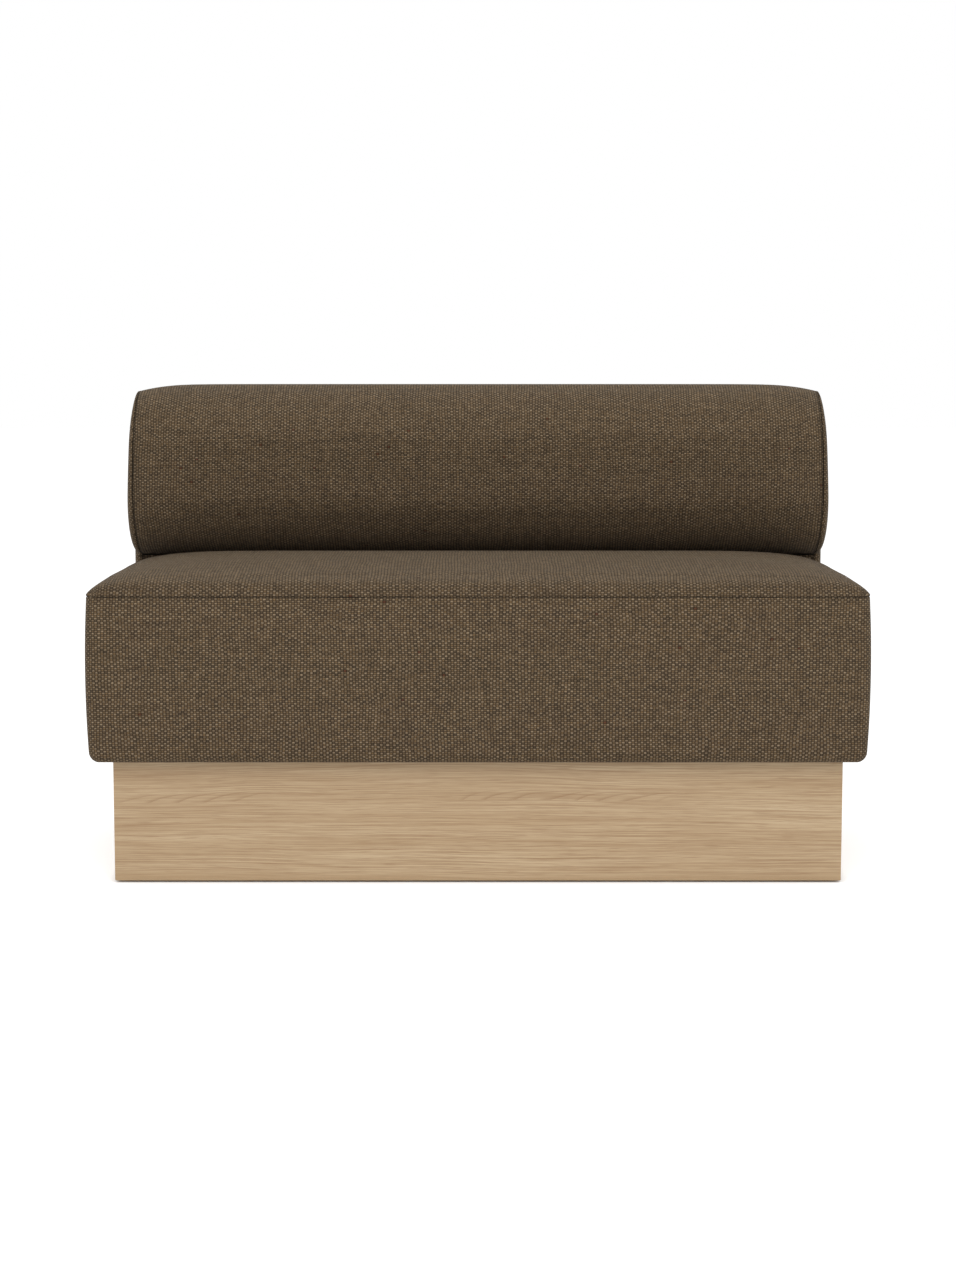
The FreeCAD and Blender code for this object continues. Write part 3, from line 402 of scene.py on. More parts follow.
class Pattern:
    """Grids, strips and polygons that are sewn into one closed mesh."""

    def __init__(self):
        self.points = []
        self.faces = []
        self.maps = []
        self.seams = []
        self.count = 0

    def grid(self, points, cloth=None, seam=0.0, flip=False, around=False, about=False):
        """A grid of points with a map of cloth lengths, where it is seen, and a painted shade near its seams;
        around closes its columns and about its rows."""
        rows, columns = points.shape[:2]
        if cloth is None:
            cloth = np.zeros((rows + 1, columns + 1, 2))
        below = np.arange(rows if about else rows - 1)
        left = np.arange(columns if around else columns - 1)
        row, column = (part.ravel() for part in np.meshgrid(below, left, indexing="ij"))
        corners = [(row, column), (row, column + 1), (row + 1, column + 1), (row + 1, column)]
        if flip:
            corners = corners[::-1]
        faces = [self.count + (r % rows) * columns + c % columns for r, c in corners]
        self.faces += np.stack(faces, axis=1).tolist()
        self.maps.append(np.stack([cloth[r, c] for r, c in corners], axis=1).reshape(-1, 2))
        self.points.append(points.reshape(-1, 3))
        self.seams.append(np.broadcast_to(seam, (rows, columns)).ravel())
        self.count += rows * columns

    def polygon(self, points):
        """One flat face on a closed row of points, out of sight."""
        self.faces.append((self.count + np.arange(len(points))).tolist())
        self.maps.append(np.zeros((len(points), 2)))
        self.seams.append(np.zeros(len(points)))
        self.points.append(points)
        self.count += len(points)

    def sew(self, name, material):
        """The finished object: grids welded along their shared edges, smooth, with its weave map."""
        mesh = bpy.data.meshes.new(name)
        mesh.from_pydata(np.concatenate(self.points).tolist(), [], self.faces)
        layer = mesh.uv_layers.new(name=WEAVE_MAP)
        layer.uv.foreach_set("vector", np.concatenate(self.maps).astype(np.float32).ravel())
        shade = mesh.attributes.new(SEAM_SHADE, "FLOAT", "POINT")
        shade.data.foreach_set("value", np.concatenate(self.seams).astype(np.float32))
        piece = bpy.data.objects.new(name, mesh)
        bpy.context.scene.collection.objects.link(piece)
        weld_mesh(mesh)
        mesh.shade_smooth()
        mesh.materials.append(material)
        return piece


def weld_mesh(mesh):
    """Join points that lie together, so that the grids close."""
    work = bmesh.new()
    work.from_mesh(mesh)
    bmesh.ops.remove_doubles(work, verts=work.verts, dist=WELD_DISTANCE)
    work.to_mesh(mesh)
    work.free()


def spread(count, chosen, stride, closed):
    """Weights that carry values from chosen rows to all rows: straight lines between them, then blurs."""
    every = np.arange(count)
    weights = np.stack([np.interp(every, chosen, one, period=count if closed else None)
                        for one in np.eye(len(chosen))], axis=1)
    for _ in range(BLURS):
        padded = np.pad(weights, ((stride, stride), (0, 0)), mode="wrap" if closed else "edge")
        weights = np.mean([padded[shift:shift + count] for shift in range(2 * stride + 1)], axis=0)
    return weights


def chosen_rows(count, stride, closed):
    """Every stride-th row, with the last one too where the rows don't close."""
    rows = np.arange(0, count, stride)
    return rows if closed or rows[-1] == count - 1 else np.append(rows, count - 1)


def inflate(points, to_seam, flip=False, around=False):
    """Swell a panel with cloth simulation on part of its rows: air pushes on its inside while the points at the
    seams are pinned. The swelling then goes back onto the whole grid along its normals, eased to nothing at
    the seams and never more than the slack."""
    sewing = settings("sofa_sewing")
    rows = chosen_rows(points.shape[0], sewing.stride, False)
    columns = chosen_rows(points.shape[1], sewing.stride, around)
    coarse = points[np.ix_(rows, columns)]
    pinned = to_seam[np.ix_(rows, columns)] < sewing.seam_radius * PINNED_RADII
    pattern = Pattern()
    pattern.grid(coarse, flip=flip, around=around)
    swelling = blow_up(pattern, pinned, coarse.shape)
    normals = grid_normals(points, around) * (-1 if flip else 1)
    shift = np.einsum("ri,cj,ijk->rck", spread(points.shape[0], rows, sewing.stride, False),
                      spread(points.shape[1], columns, sewing.stride, around), swelling - coarse)
    out = np.clip((shift * normals).sum(axis=2), 0, sewing.slack)
    free = np.clip(to_seam / sewing.ease, 0, 1)
    return points + normals * (out * free ** 2 * (3 - 2 * free))[:, :, None]


def blow_up(pattern, pinned, shape):
    """Points of a pattern after its frames of cloth simulation, with air inside and no gravity."""
    sewing = settings("sofa_sewing")
    mesh = bpy.data.meshes.new("pattern")
    mesh.from_pydata(pattern.points[0].tolist(), [], pattern.faces)
    panel = bpy.data.objects.new("pattern", mesh)
    bpy.context.scene.collection.objects.link(panel)
    pins = panel.vertex_groups.new(name="sewn")
    pins.add(np.flatnonzero(pinned.ravel()).tolist(), 1.0, "REPLACE")
    cloth = panel.modifiers.new("Cloth", "CLOTH")
    for name, value in CLOTH.items():
        setattr(cloth.settings, name, value)
    cloth.settings.vertex_group_mass = pins.name
    cloth.settings.use_pressure = True
    cloth.settings.uniform_pressure_force = sewing.air
    cloth.settings.effector_weights.gravity = 0
    cloth.point_cache.frame_end = SIMULATED_FRAMES
    for step in range(1, SIMULATED_FRAMES + 1):
        bpy.context.scene.frame_set(step)
    shown = panel.evaluated_get(bpy.context.evaluated_depsgraph_get()).data
    moved = np.empty(len(shown.vertices) * 3)
    shown.vertices.foreach_get("co", moved)
    bpy.data.objects.remove(panel)
    bpy.data.meshes.remove(mesh)
    bpy.context.scene.frame_set(1)
    return moved.reshape(shape)


def dress(piece, *nodes, fill):
    """Let a padded piece ride on the sofa and stand for its CAD nodes."""
    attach(piece, SOFA)
    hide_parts(*nodes)


# Seat

def lip_rows(sewing):
    """Insets and heights of the seat top's sewn edge: an arc that starts in the seam, swells out past it
    and turns up into the crown."""
    turn = np.linspace(-math.pi / 2, sewing.lip_turn, LIP_ROWS)
    inset = sewing.lip_centre - sewing.lip_radius * np.cos(turn)
    return inset, sewing.lip_rise + sewing.lip_radius * np.sin(turn)


def seat_axis(reach, lip, corner, step):
    """Insets from an edge to the middle: the lip's rows, then closer steps up to the corner's rounding,
    then even ones."""
    rounding = lip[-1] + (corner - lip[-1]) * np.linspace(0, 1, ROUNDING_ROWS + 1)[1:] ** ROUNDING_POWER
    count = int(math.ceil((reach - corner) / step))
    return np.concatenate([lip, rounding, np.linspace(corner, reach, count + 1)[1:]])


def crown_shares(end, edge, depth):
    """Share of the crown's rise at distances from the ends and from the front or rear edge, and at a depth
    from the front. One profile is a stretched exponential from the ends that softens to the rear, the other a
    quick roll and a slow parabola from the front and rear edges, and the lower of the two wins, softly."""
    seat = settings("sofa_seat")
    half = depth.max() / 2
    to_rear = np.clip((depth / (2 * half) - SOFTENING_START) / SOFTENING_SPAN, 0, 1)
    power = seat.end_power + (seat.end_power_rear - seat.end_power) * to_rear
    reach = seat.end_reach + (seat.end_reach_rear - seat.end_reach) * to_rear
    along = 1 - np.exp(-(np.maximum(end, 0) / reach) ** power)
    behind = depth > half
    reach = np.where(behind, seat.rear_reach, seat.front_reach)
    quick = 1 - np.exp(-np.maximum(edge, 0) / reach)
    slow = 1 - (1 - np.clip(edge / half, 0, 1)) ** 2
    part = np.where(behind, seat.rear_roll, seat.front_roll)
    across = part * quick + (1 - part) * slow
    missing = (1 - along) ** seat.corner_power + (1 - across) ** seat.corner_power
    return np.maximum(1 - missing ** (1 / seat.corner_power), 0)


def seat_top_grid():
    """The seat top as a grid of columns along X and rows along Y, whose corner squares are bent into
    quarter circles, with the lip's height by the nearest edge plus the crown. The second result is the
    distance to the seam."""
    sewing = settings("sofa_sewing")
    seat = settings("sofa_seat")
    lip_in, lip_up = lip_rows(sewing)
    half = TOP_HIGH.x + seat.fullness
    front = TOP_LOW.y - seat.fullness
    middle = (front + TOP_HIGH.y) / 2
    deep = (TOP_HIGH.y - front) / 2
    ends = seat_axis(half, lip_in, seat.corner, sewing.mesh_step)
    sides = seat_axis(deep, lip_in, seat.corner, sewing.mesh_step)
    bend = len(lip_in) + ROUNDING_ROWS - 1
    x_step, y_step = (np.minimum(np.arange(2 * len(insets) - 1), np.arange(2 * len(insets) - 2, -1, -1))
                      for insets in (ends, sides))
    column, row = np.meshgrid(x_step, y_step)
    nearest = np.minimum(column, row)
    sign_x = np.where(np.arange(len(x_step)) < len(ends), -1, 1)[None, :]
    sign_y = np.where(np.arange(len(y_step)) < len(sides), -1, 1)[:, None]
    inset_x = ends[column]
    inset_y = sides[row]
    in_corner = (column < bend) & (row < bend)
    ring = seat.corner - ends[nearest]
    away = np.maximum(column, row) - nearest
    turn = math.pi / 4 * (1 - away / np.maximum(bend - nearest, 1))
    turn = np.where(row >= column, turn, math.pi / 2 - turn)
    inset_x = np.where(in_corner, seat.corner - ring * np.cos(turn), inset_x)
    inset_y = np.where(in_corner, seat.corner - ring * np.sin(turn), inset_y)
    lip = lip_up[np.minimum(nearest, len(lip_up) - 1)]
    depth = np.where(sign_y < 0, inset_y, 2 * deep - inset_y)
    rise = TOP_HIGH.z - TOP_LOW.z - lip_up[-1] - sewing.slack
    crown = rise * crown_shares(inset_x - lip_in[-1], inset_y - lip_in[-1], depth)
    height = lip + np.where(nearest >= len(lip_up) - 1, crown, 0)
    points = np.stack([sign_x * (half - inset_x), middle + sign_y * (deep - inset_y), TOP_LOW.z + height],
                      axis=2)
    over_lip = run_length(np.stack([lip_in, lip_up], axis=1))
    to_seam = np.where(nearest < len(lip_in), over_lip[np.minimum(nearest, len(lip_in) - 1)],
                       np.minimum(inset_x, inset_y) + sewing.lip_radius)
    return points, to_seam


def cloth_map(points):
    """Cloth lengths of a grid, measured along its middle row and its middle column."""
    rows, columns = points.shape[:2]
    across = run_length(points[rows // 2])
    along = run_length(points[:, columns // 2])
    across = across - across[columns // 2]
    along = along - along[rows // 2]
    return np.stack(np.meshgrid(across, along), axis=2)


def rim(points):
    """The closed row of points round a grid."""
    return np.concatenate([points[0, :-1], points[:-1, -1], points[-1, :0:-1], points[:0:-1, 0]])


def make_seat_top(material):
    """The crowned top panel, closed underneath at the seam, with a bell curve of painted shade behind its lip.
    """
    sewing = settings("sofa_sewing")
    points, to_seam = seat_top_grid()
    cloth = cloth_map(points)
    points = inflate(points, to_seam)
    pattern = Pattern()
    # Painted shade: a bell curve darkens the fabric in the hollow behind the lip, and the groove shade at the
    # seam
    spread_out = HOLLOW_SPREAD * sewing.lip_hollow
    hollow = sewing.lip_shade * np.exp(-((to_seam - sewing.lip_hollow) / spread_out) ** 2)
    pattern.grid(points, cloth, np.maximum(seam_shade(to_seam, TOP_GROOVE_SHADE * sewing.seam_radius), hollow))
    pattern.polygon(rim(points)[::-1])
    piece = pattern.sew("seat_top_cushion", material)
    dress(piece, "seat_cover_top", "seat_top_foam", "seat_base_foam", "seat_felt", fill=0.85)


def plan_path(half, low, high, radius, step):
    """A rounded rectangle seen from above, anticlockwise from the middle of the back, with the outward
    direction at each point."""
    corners = [(-half, high, 90), (-half, low, 180), (half, low, 270), (half, high, 0)]
    places = [np.array([[0.0, high]])]
    facing = [np.array([[0.0, 1.0]])]
    for x, y, start in corners:
        centre = np.array([x - math.copysign(radius, x), y - radius if y == high else y + radius])
        turn = np.radians(np.linspace(start, start + 90, CORNER_ROWS))
        outward = np.stack([np.cos(turn), np.sin(turn)], axis=1)
        first = centre + radius * outward[0]
        count = int(math.ceil(np.linalg.norm(first - places[-1][-1]) / step))
        way = np.linspace(places[-1][-1], first, count + 1)[1:-1]
        places += [way, centre + radius * outward]
        facing += [np.repeat(outward[:1], len(way), axis=0), outward]
    last = np.linspace(places[-1][-1], places[0][0], int(math.ceil(half / step)) + 1)[1:-1]
    places.append(last)
    facing.append(np.repeat(facing[0], len(last), axis=0))
    return np.concatenate(places), np.concatenate(facing)


def border_profile():
    """Inset and height down the seat's side: the seam's quarter circle, a side that is fullest where two
    parabolas meet, the rounded bottom edge, the turned-in flange, and the hidden inner wall. The third
    result is the distance to the nearest held edge."""
    seat = settings("sofa_seat")
    top = BORDER_HIGH.z
    foot = BORDER_LOW.z
    fullest = foot + (top - foot) * math.sqrt(seat.side_taper) / (
        math.sqrt(seat.side_taper) + math.sqrt(seat.seam_draw))

    def side(height):
        """Inset of the side at a height."""
        above = seat.seam_draw * ((height - fullest) / (top - fullest)) ** 2
        below = seat.side_taper * ((fullest - height) / (fullest - foot)) ** 2
        return np.where(height > fullest, above, below)

    bend = seat.bottom_radius
    down = top - edge_spacing(top - foot - bend)[:1 - SEAM_ROWS]
    inset = side(down) + seam_depth(top - down)
    turn = np.linspace(0, math.pi / 2, BOTTOM_ROWS)[1:]
    round_in = side(np.array([foot + bend]))[0] + bend * (1 - np.cos(turn))
    round_down = foot + bend * (1 - np.sin(turn))
    under = np.linspace(round_in[-1], seat.flange, FLANGE_ROWS + 1)[1:]
    inner = np.array([[seat.flange, foot + bend], [seat.flange, (foot + top) / 2],
                      [seat.flange, top - seat.wall],
                      [seat.flange / 2, top - settings("sofa_sewing").seam_radius]])
    insets = np.concatenate([inset, round_in, under, inner[:, 0]])
    heights = np.concatenate([down, round_down, np.full(FLANGE_ROWS, foot), inner[:, 1]])
    held = np.zeros(len(insets))
    held[:len(inset)] = np.minimum(top - down, down - foot - bend)
    return insets, heights, np.maximum(held, 0)


def make_seat_border(material):
    """The seat's side band: the profile carried round the plan, a closed ring. The rows less than half a
    corner's radius in from the outside swell."""
    sewing = settings("sofa_sewing")
    seat = settings("sofa_seat")
    insets, heights, to_seam = border_profile()
    outer = int(np.argmax(insets > seat.corner / 2))
    half = BORDER_HIGH.x + seat.fullness
    front = BORDER_LOW.y - seat.fullness
    plan, outward = plan_path(half, front, BORDER_HIGH.y, seat.corner, sewing.mesh_step)
    flat = plan[None, :, :] - np.minimum(insets, seat.corner)[:, None, None] * outward[None, :, :]
    reach = insets[:, None]
    flat = np.stack([np.clip(flat[:, :, 0], reach - half, half - reach),
                     np.clip(flat[:, :, 1], front + reach, BORDER_HIGH.y - reach)], axis=2)
    points = np.concatenate([flat, np.broadcast_to(heights[:, None, None], flat.shape[:2] + (1,))], axis=2)
    around = run_length(np.concatenate([plan, plan[:1]]))
    down = -run_length(np.stack([insets, heights], axis=1))
    cloth = np.stack(np.meshgrid(around, np.append(down, down[-1])), axis=2)
    from_seam = np.broadcast_to(to_seam[:, None], points.shape[:2])
    points[:outer] = inflate(points[:outer], from_seam[:outer], flip=True, around=True)
    pattern = Pattern()
    # Painted shade: the fabric darkens in the groove at the top of the band
    shade = seam_shade(-down, SIDE_GROOVE_SHADE * sewing.seam_radius)
    shade[SIDE_SHADE_ROWS:] = 0
    pattern.grid(points, cloth, shade[:, None], flip=True, around=True, about=True)
    piece = pattern.sew("seat_side_band", material)
    dress(piece, "seat_cover_border", "seat_front_padding", "seat_rear_padding", "seat_left_padding",
          "seat_right_padding", fill=0.8)


def add_sheet(pattern, lower, upper):
    """A level sheet as a lower and an upper grid, joined round their rim and mapped by X and Y."""
    pattern.grid(lower, lower[:, :, :2], flip=True)
    pattern.grid(upper, upper[:, :, :2])
    edge = np.stack([rim(lower), rim(upper)])
    pattern.grid(edge, around=True)


def make_dust_cloth():
    """The cloth stapled under the seat, as two grids a thickness apart: it sags as a parabola across and as
    one minus an exponential from its ends, and puckers between the staples in waves that die away from its
    edges."""
    step = settings("sofa_sewing").mesh_step
    seat = settings("sofa_seat")
    low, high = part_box("seat_dust_cloth")
    x, y = np.meshgrid(*[np.linspace(start, stop, int((stop - start) / step) + 1)
                         for start, stop in ((low.x, high.x), (low.y, high.y))])
    to_end = np.minimum(x - low.x, high.x - x)
    to_side = np.minimum(y - low.y, high.y - y)
    width = high.y - low.y
    across = 4 * (y - low.y) * (high.y - y) / width ** 2
    sag = seat.cloth_sag * across * (1 - np.exp(-to_end / width * SAG_QUICKNESS))
    along_side = (1 - np.cos(2 * math.pi * x / seat.staple_gap)) * np.exp(-to_side / seat.staple_gap)
    along_end = (1 - np.cos(2 * math.pi * y / seat.staple_gap)) * np.exp(-to_end / seat.staple_gap)
    under = high.z - seat.cloth_thickness - sag - seat.pucker / 2 * np.maximum(along_side, along_end)
    lower = np.stack([x, y, under], axis=2)
    upper = lower + np.array([0.0, 0.0, seat.cloth_thickness])
    pattern = Pattern()
    add_sheet(pattern, lower, upper)
    piece = pattern.sew("dust_cloth", mottled("dust_cloth"))
    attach(piece, SOFA)
    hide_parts("seat_dust_cloth")


# Back

def roll_curve(inset=0.0):
    """The roll in section as Y and Z, from the neck round the front and top to the rear seam: lower arc,
    front line, upper arc, top line, rear arc and rear line. The second result says how each point moves
    with the swell: forwards at the front and up at the top."""
    back = settings("sofa_back")
    front = ROLL_LOW.y + back.swell
    top = ROLL_HIGH.z - back.swell
    neck = NECK_LOW.y + inset
    rear = ROLL_HIGH.y - inset
    low = (front + back.bottom_radius, ROLL_LOW.z + back.bottom_radius)
    high = (front + back.top_radius, top - back.top_radius)
    crest = (ROLL_HIGH.y - back.rear_radius, top - back.rear_radius)
    start = math.asin((neck - low[0]) / (back.bottom_radius - inset)) - math.pi / 2
    stretches = [arc_points(low, back.bottom_radius - inset, start, -math.pi, ARC_ROWS),
                 np.linspace([front + inset, low[1]], [front + inset, high[1]], LINE_ROWS),
                 arc_points(high, back.top_radius - inset, math.pi, math.pi / 2, ARC_ROWS),
                 np.linspace([high[0], top - inset], [crest[0], top - inset], LINE_ROWS),
                 arc_points(crest, back.rear_radius - inset, math.pi / 2, 0, ARC_ROWS),
                 np.linspace([rear, crest[1]], [rear, REAR_HIGH.z], LINE_ROWS)]
    points = np.concatenate([part[:-1] for part in stretches] + [stretches[-1][-1:]])
    moves = np.concatenate([np.linspace(first, last, len(part))[:-1]
                            for part, first, last in zip(stretches, SWELL_MOVES, SWELL_MOVES[1:])]
                           + [np.array(SWELL_MOVES[-1:], float)])
    return points, moves


def end_seam(y, z):
    """How far out an end seam lies at a place: it leans as a sine from the roll's top to its foot, less and
    less to the rear."""
    back = settings("sofa_back")
    down = np.clip((ROLL_HIGH.z - z) / (ROLL_HIGH.z - ROLL_LOW.z), 0, 1)
    forward = np.clip((ROLL_HIGH.y - y) / (ROLL_HIGH.y - ROLL_LOW.y), 0, 1)
    turn = math.pi * (down - back.lean_level) / (1 - back.lean_level)
    return ROLL_HIGH.x + back.lean * forward * np.sin(turn)


def roll_grid():
    """The wrapped panel: the section carried along X from one leaning end seam to the other, its swell one
    minus an exponential of the distance to them, and its four edges diving into their seams along the
    surface normal. The second result is the distance to the seams."""
    back = settings("sofa_back")
    curve, moves = roll_curve()
    way = run_length(curve)
    places = edge_spacing(way[-1])
    half = ROLL_HIGH.x
    stations = edge_spacing(2 * half)
    to_end = np.minimum(stations, 2 * half - stations)
    swell = (back.swell - settings("sofa_sewing").slack) * (1 - np.exp(-to_end / back.swell_reach))
    section = np.stack([np.interp(places, way, curve[:, axis]) for axis in range(2)], axis=1)
    move = np.stack([np.interp(places, way, moves[:, axis]) for axis in range(2)], axis=1)
    plane = section[:, None, :] + swell[None, :, None] * move[:, None, :]
    across = (stations / half - 1)[None, :] * end_seam(plane[:, :, 0], plane[:, :, 1])
    points = np.concatenate([across[:, :, None], plane], axis=2)
    to_seam = to_rim(stations, places)
    points = points - grid_normals(points) * seam_depth(to_seam)[:, :, None]
    return points, to_seam


def make_back_roll(material):
    """The bolster: the wrapped panel, closed by a flat strip inside and flat ends under the end panels."""
    points, to_seam = roll_grid()
    cloth = cloth_map(points) * np.array(settings("sofa_weave").drawn)
    points = inflate(points, to_seam)
    pattern = Pattern()
    # Painted shade: the fabric darkens in the grooves along the bolster's seams
    pattern.grid(points, cloth, BACK_GROOVE_SHADE * seam_shade(to_seam, settings("sofa_sewing").seam_radius))
    pattern.grid(points[[0, -1]], cloth[[0, -1]], flip=True)
    pattern.polygon(points[:, 0])
    pattern.polygon(points[:, -1][::-1])
    piece = pattern.sew("back_bolster", material)
    dress(piece, "back_cover_roll", "back_roll_foam", fill=0.9)


def end_ring(inset):
    """The back's outline seen from an end, drawn in by an inset: up the front, along the top, down the
    rear and back along the foot. The four sides keep their number of points at every inset."""
    curve, _ = roll_curve(inset)
    foot = END_LOW.z + inset
    neck = np.linspace([curve[0, 0], foot], curve[0], NECK_ROWS + 1)[:-1]
    roll = curve[:TOP_LINE_START + 1]
    rear = np.concatenate([[[curve[-1, 0], foot]], curve[:TOP_LINE_END - 1:-1]])
    straight = neck[:, 1] - foot
    corner = curve[0, 1] - foot
    around = run_length(roll)
    climb = corner + (run_length(rear)[-1] - corner) * around / around[-1]
    rear = resample(rear, np.concatenate([straight, climb]))
    front = np.concatenate([neck, roll])
    top = np.linspace(front[-1], rear[-1], END_COLUMNS)
    base = np.linspace(rear[0], front[0], END_COLUMNS)
    return front, top, rear[::-1], base


def resample(points, places):
    """Points of a row at given distances along it."""
    way = run_length(points)
    return np.stack([np.interp(places, way, points[:, axis]) for axis in range(points.shape[1])], axis=1)


def spanned(front, top, rear, base):
    """A grid between four sides: straight rows between front and rear, corrected to the foot and the top."""
    across = np.linspace(0, 1, len(top))[None, :, None]
    up = np.linspace(0, 1, len(front))[:, None, None]
    back = rear[::-1]
    rows = front[:, None, :] * (1 - across) + back[:, None, :] * across
    columns = base[::-1][None, :, :] * (1 - up) + top[None, :, :] * up
    corners = ((front[0] * (1 - across) + back[0] * across) * (1 - up)
               + (front[-1] * (1 - across) + back[-1] * across) * up)
    return rows + columns - corners


def end_rows():
    """Inset, rise and share of the dome, and distance from the seam, for the rings of an end panel: a quarter
    circle out of the seam, then a superellipse over the dome's edge."""
    radius = settings("sofa_sewing").seam_radius
    back = settings("sofa_back")
    turn = np.linspace(0, math.pi / 2, END_SEAM_ROWS)
    dome_in = back.dome_edge * (1 - np.cos(np.linspace(0, math.pi / 2, DOME_ROWS + 1)))[1:]
    near = 1 - dome_in / back.dome_edge
    inset = np.concatenate([radius * (1 - np.sin(turn)), dome_in])
    rise = np.concatenate([radius * (1 - np.cos(turn)), np.full(len(dome_in), radius)])
    dome = np.concatenate([np.zeros(len(turn)), (1 - near ** back.dome_power) ** (1 / back.dome_power)])
    way = np.concatenate([radius * turn, radius * math.pi / 2 + dome_in])
    return inset, rise, dome, way


def stood_out(plane, rise, dome, side):
    """Points of an end panel: Y and Z as drawn, and X out from the seam by the rise and by a share of the
    dome, which grows as a parabola from the roll's top down to the neck."""
    back = settings("sofa_back")
    down = np.clip((ROLL_HIGH.z - plane[:, :, 1]) / (ROLL_HIGH.z - ROLL_LOW.z), 0, 1)
    part = back.dome_top + back.dome_growth * down - back.dome_slowing * down ** 2
    full = (END_HIGH.x - ROLL_HIGH.x) * part
    seam = end_seam(plane[:, :, 0], plane[:, :, 1])
    out = seam + rise + dome * np.maximum(ROLL_HIGH.x + full - seam - rise, 0)
    return np.concatenate([side * out[:, :, None], plane], axis=2)


def add_hem(pattern, low, high):
    """Fabric turned in under the back, between two corners in X and Y: flat above, its lower edges rounded by
    a quarter circle."""
    across = edge_spacing(high[0] - low[0])
    along = edge_spacing(high[1] - low[1])
    x, y = np.meshgrid(low[0] + across, low[1] + along)
    lower = np.stack([x, y, END_LOW.z + seam_depth(to_rim(across, along))], axis=2)
    upper = np.stack([x, y, np.full(x.shape, END_LOW.z + settings("sofa_back").hem_thickness)], axis=2)
    add_sheet(pattern, lower, upper)


def make_back_end(material, side, name):
    """A domed end panel: rings of the outline that stand out further as they shrink, a spanned middle, a flat
    inner face and the hem under the back's end. The rings' cloth is mapped as if unrolled from the middle."""
    sewing = settings("sofa_sewing")
    back = settings("sofa_back")
    inset, rise, dome, way = end_rows()
    over = run_length(np.stack([inset, rise + dome * (END_HIGH.x - ROLL_HIGH.x)], axis=1))
    rings, unrolled = (np.stack([np.concatenate([edge[:-1] for edge in end_ring(one)]) for one in insets])
                       for insets in (inset, inset[-1] + over - over[-1]))
    points = stood_out(rings, rise[:, None], dome[:, None], side)
    inner = spanned(*end_ring(inset[-1]))
    middle = stood_out(inner, rise[-1], dome[-1], side)
    plain = spanned(*end_ring(inset[0]))
    hidden = stood_out(plain, rise[0], dome[0], side)
    pattern = Pattern()
    closed = np.concatenate([unrolled, unrolled[:, :1]], axis=1)
    # Painted shade: the fabric darkens in the groove along the end panel's seam
    shade = BACK_GROOVE_SHADE * seam_shade(way, sewing.seam_radius)[:, None]
    mirrored = np.array([side, 1])
    pattern.grid(points, closed * mirrored, shade, flip=side > 0, around=True)
    pattern.grid(middle, inner * mirrored, flip=side < 0)
    pattern.grid(hidden, plain * mirrored, flip=side > 0)
    left, right = sorted([side * (PLINTH_HIGH.x + back.hem_gap), side * (ROLL_HIGH.x + back.hem_lap)])
    add_hem(pattern, (left, NECK_LOW.y + sewing.seam_radius), (right, PLINTH_HIGH.y + back.hem_gap))
    piece = pattern.sew(f"back_end_panel_{name}", material)
    dress(piece, f"back_cover_end_{name}", f"back_end_pad_{name}", fill=0.8)


def flat_panel(low, high, facing):
    """An upright panel over a box: its face stands at the box's front or rear, its four edges dive into their
    seams, and its hidden side is flat."""
    plane = high.y if facing > 0 else low.y
    along = edge_spacing(high.x - low.x)
    up = edge_spacing(high.z - low.z)
    to_seam = to_rim(along, up)
    x, z = np.meshgrid(low.x + along, low.z + up)
    points = np.stack([x, plane - facing * seam_depth(to_seam), z], axis=2)
    edge = rim(points)
    inside = edge.copy()
    inside[:, 1] = plane - facing * settings("sofa_back").panel_depth
    pattern = Pattern()
    # Painted shade: the fabric darkens in the grooves along the panel's seams
    shade = seam_shade(to_seam, settings("sofa_sewing").seam_radius)
    pattern.grid(points, np.stack([x, z], axis=2), shade, flip=facing > 0)
    pattern.grid(np.stack([edge, inside]), flip=facing < 0, around=True)
    pattern.polygon(inside if facing > 0 else inside[::-1])
    return pattern


def make_flat_panels(material):
    """The neck panel, and the outside back with its hem."""
    back = settings("sofa_back")
    neck = flat_panel(NECK_LOW, NECK_HIGH, -1).sew("back_neck_panel", material)
    dress(neck, "back_cover_neck", "back_neck_foam", fill=0.5)
    pattern = flat_panel(REAR_LOW, REAR_HIGH, 1)
    behind = REAR_HIGH.y - back.panel_depth + back.hem_lap
    add_hem(pattern, (REAR_LOW.x, PLINTH_HIGH.y + back.hem_gap), (REAR_HIGH.x, behind))
    dress(pattern.sew("back_outside_panel", material), "back_cover_rear", "back_rear_padding", fill=0.4)


# Materials

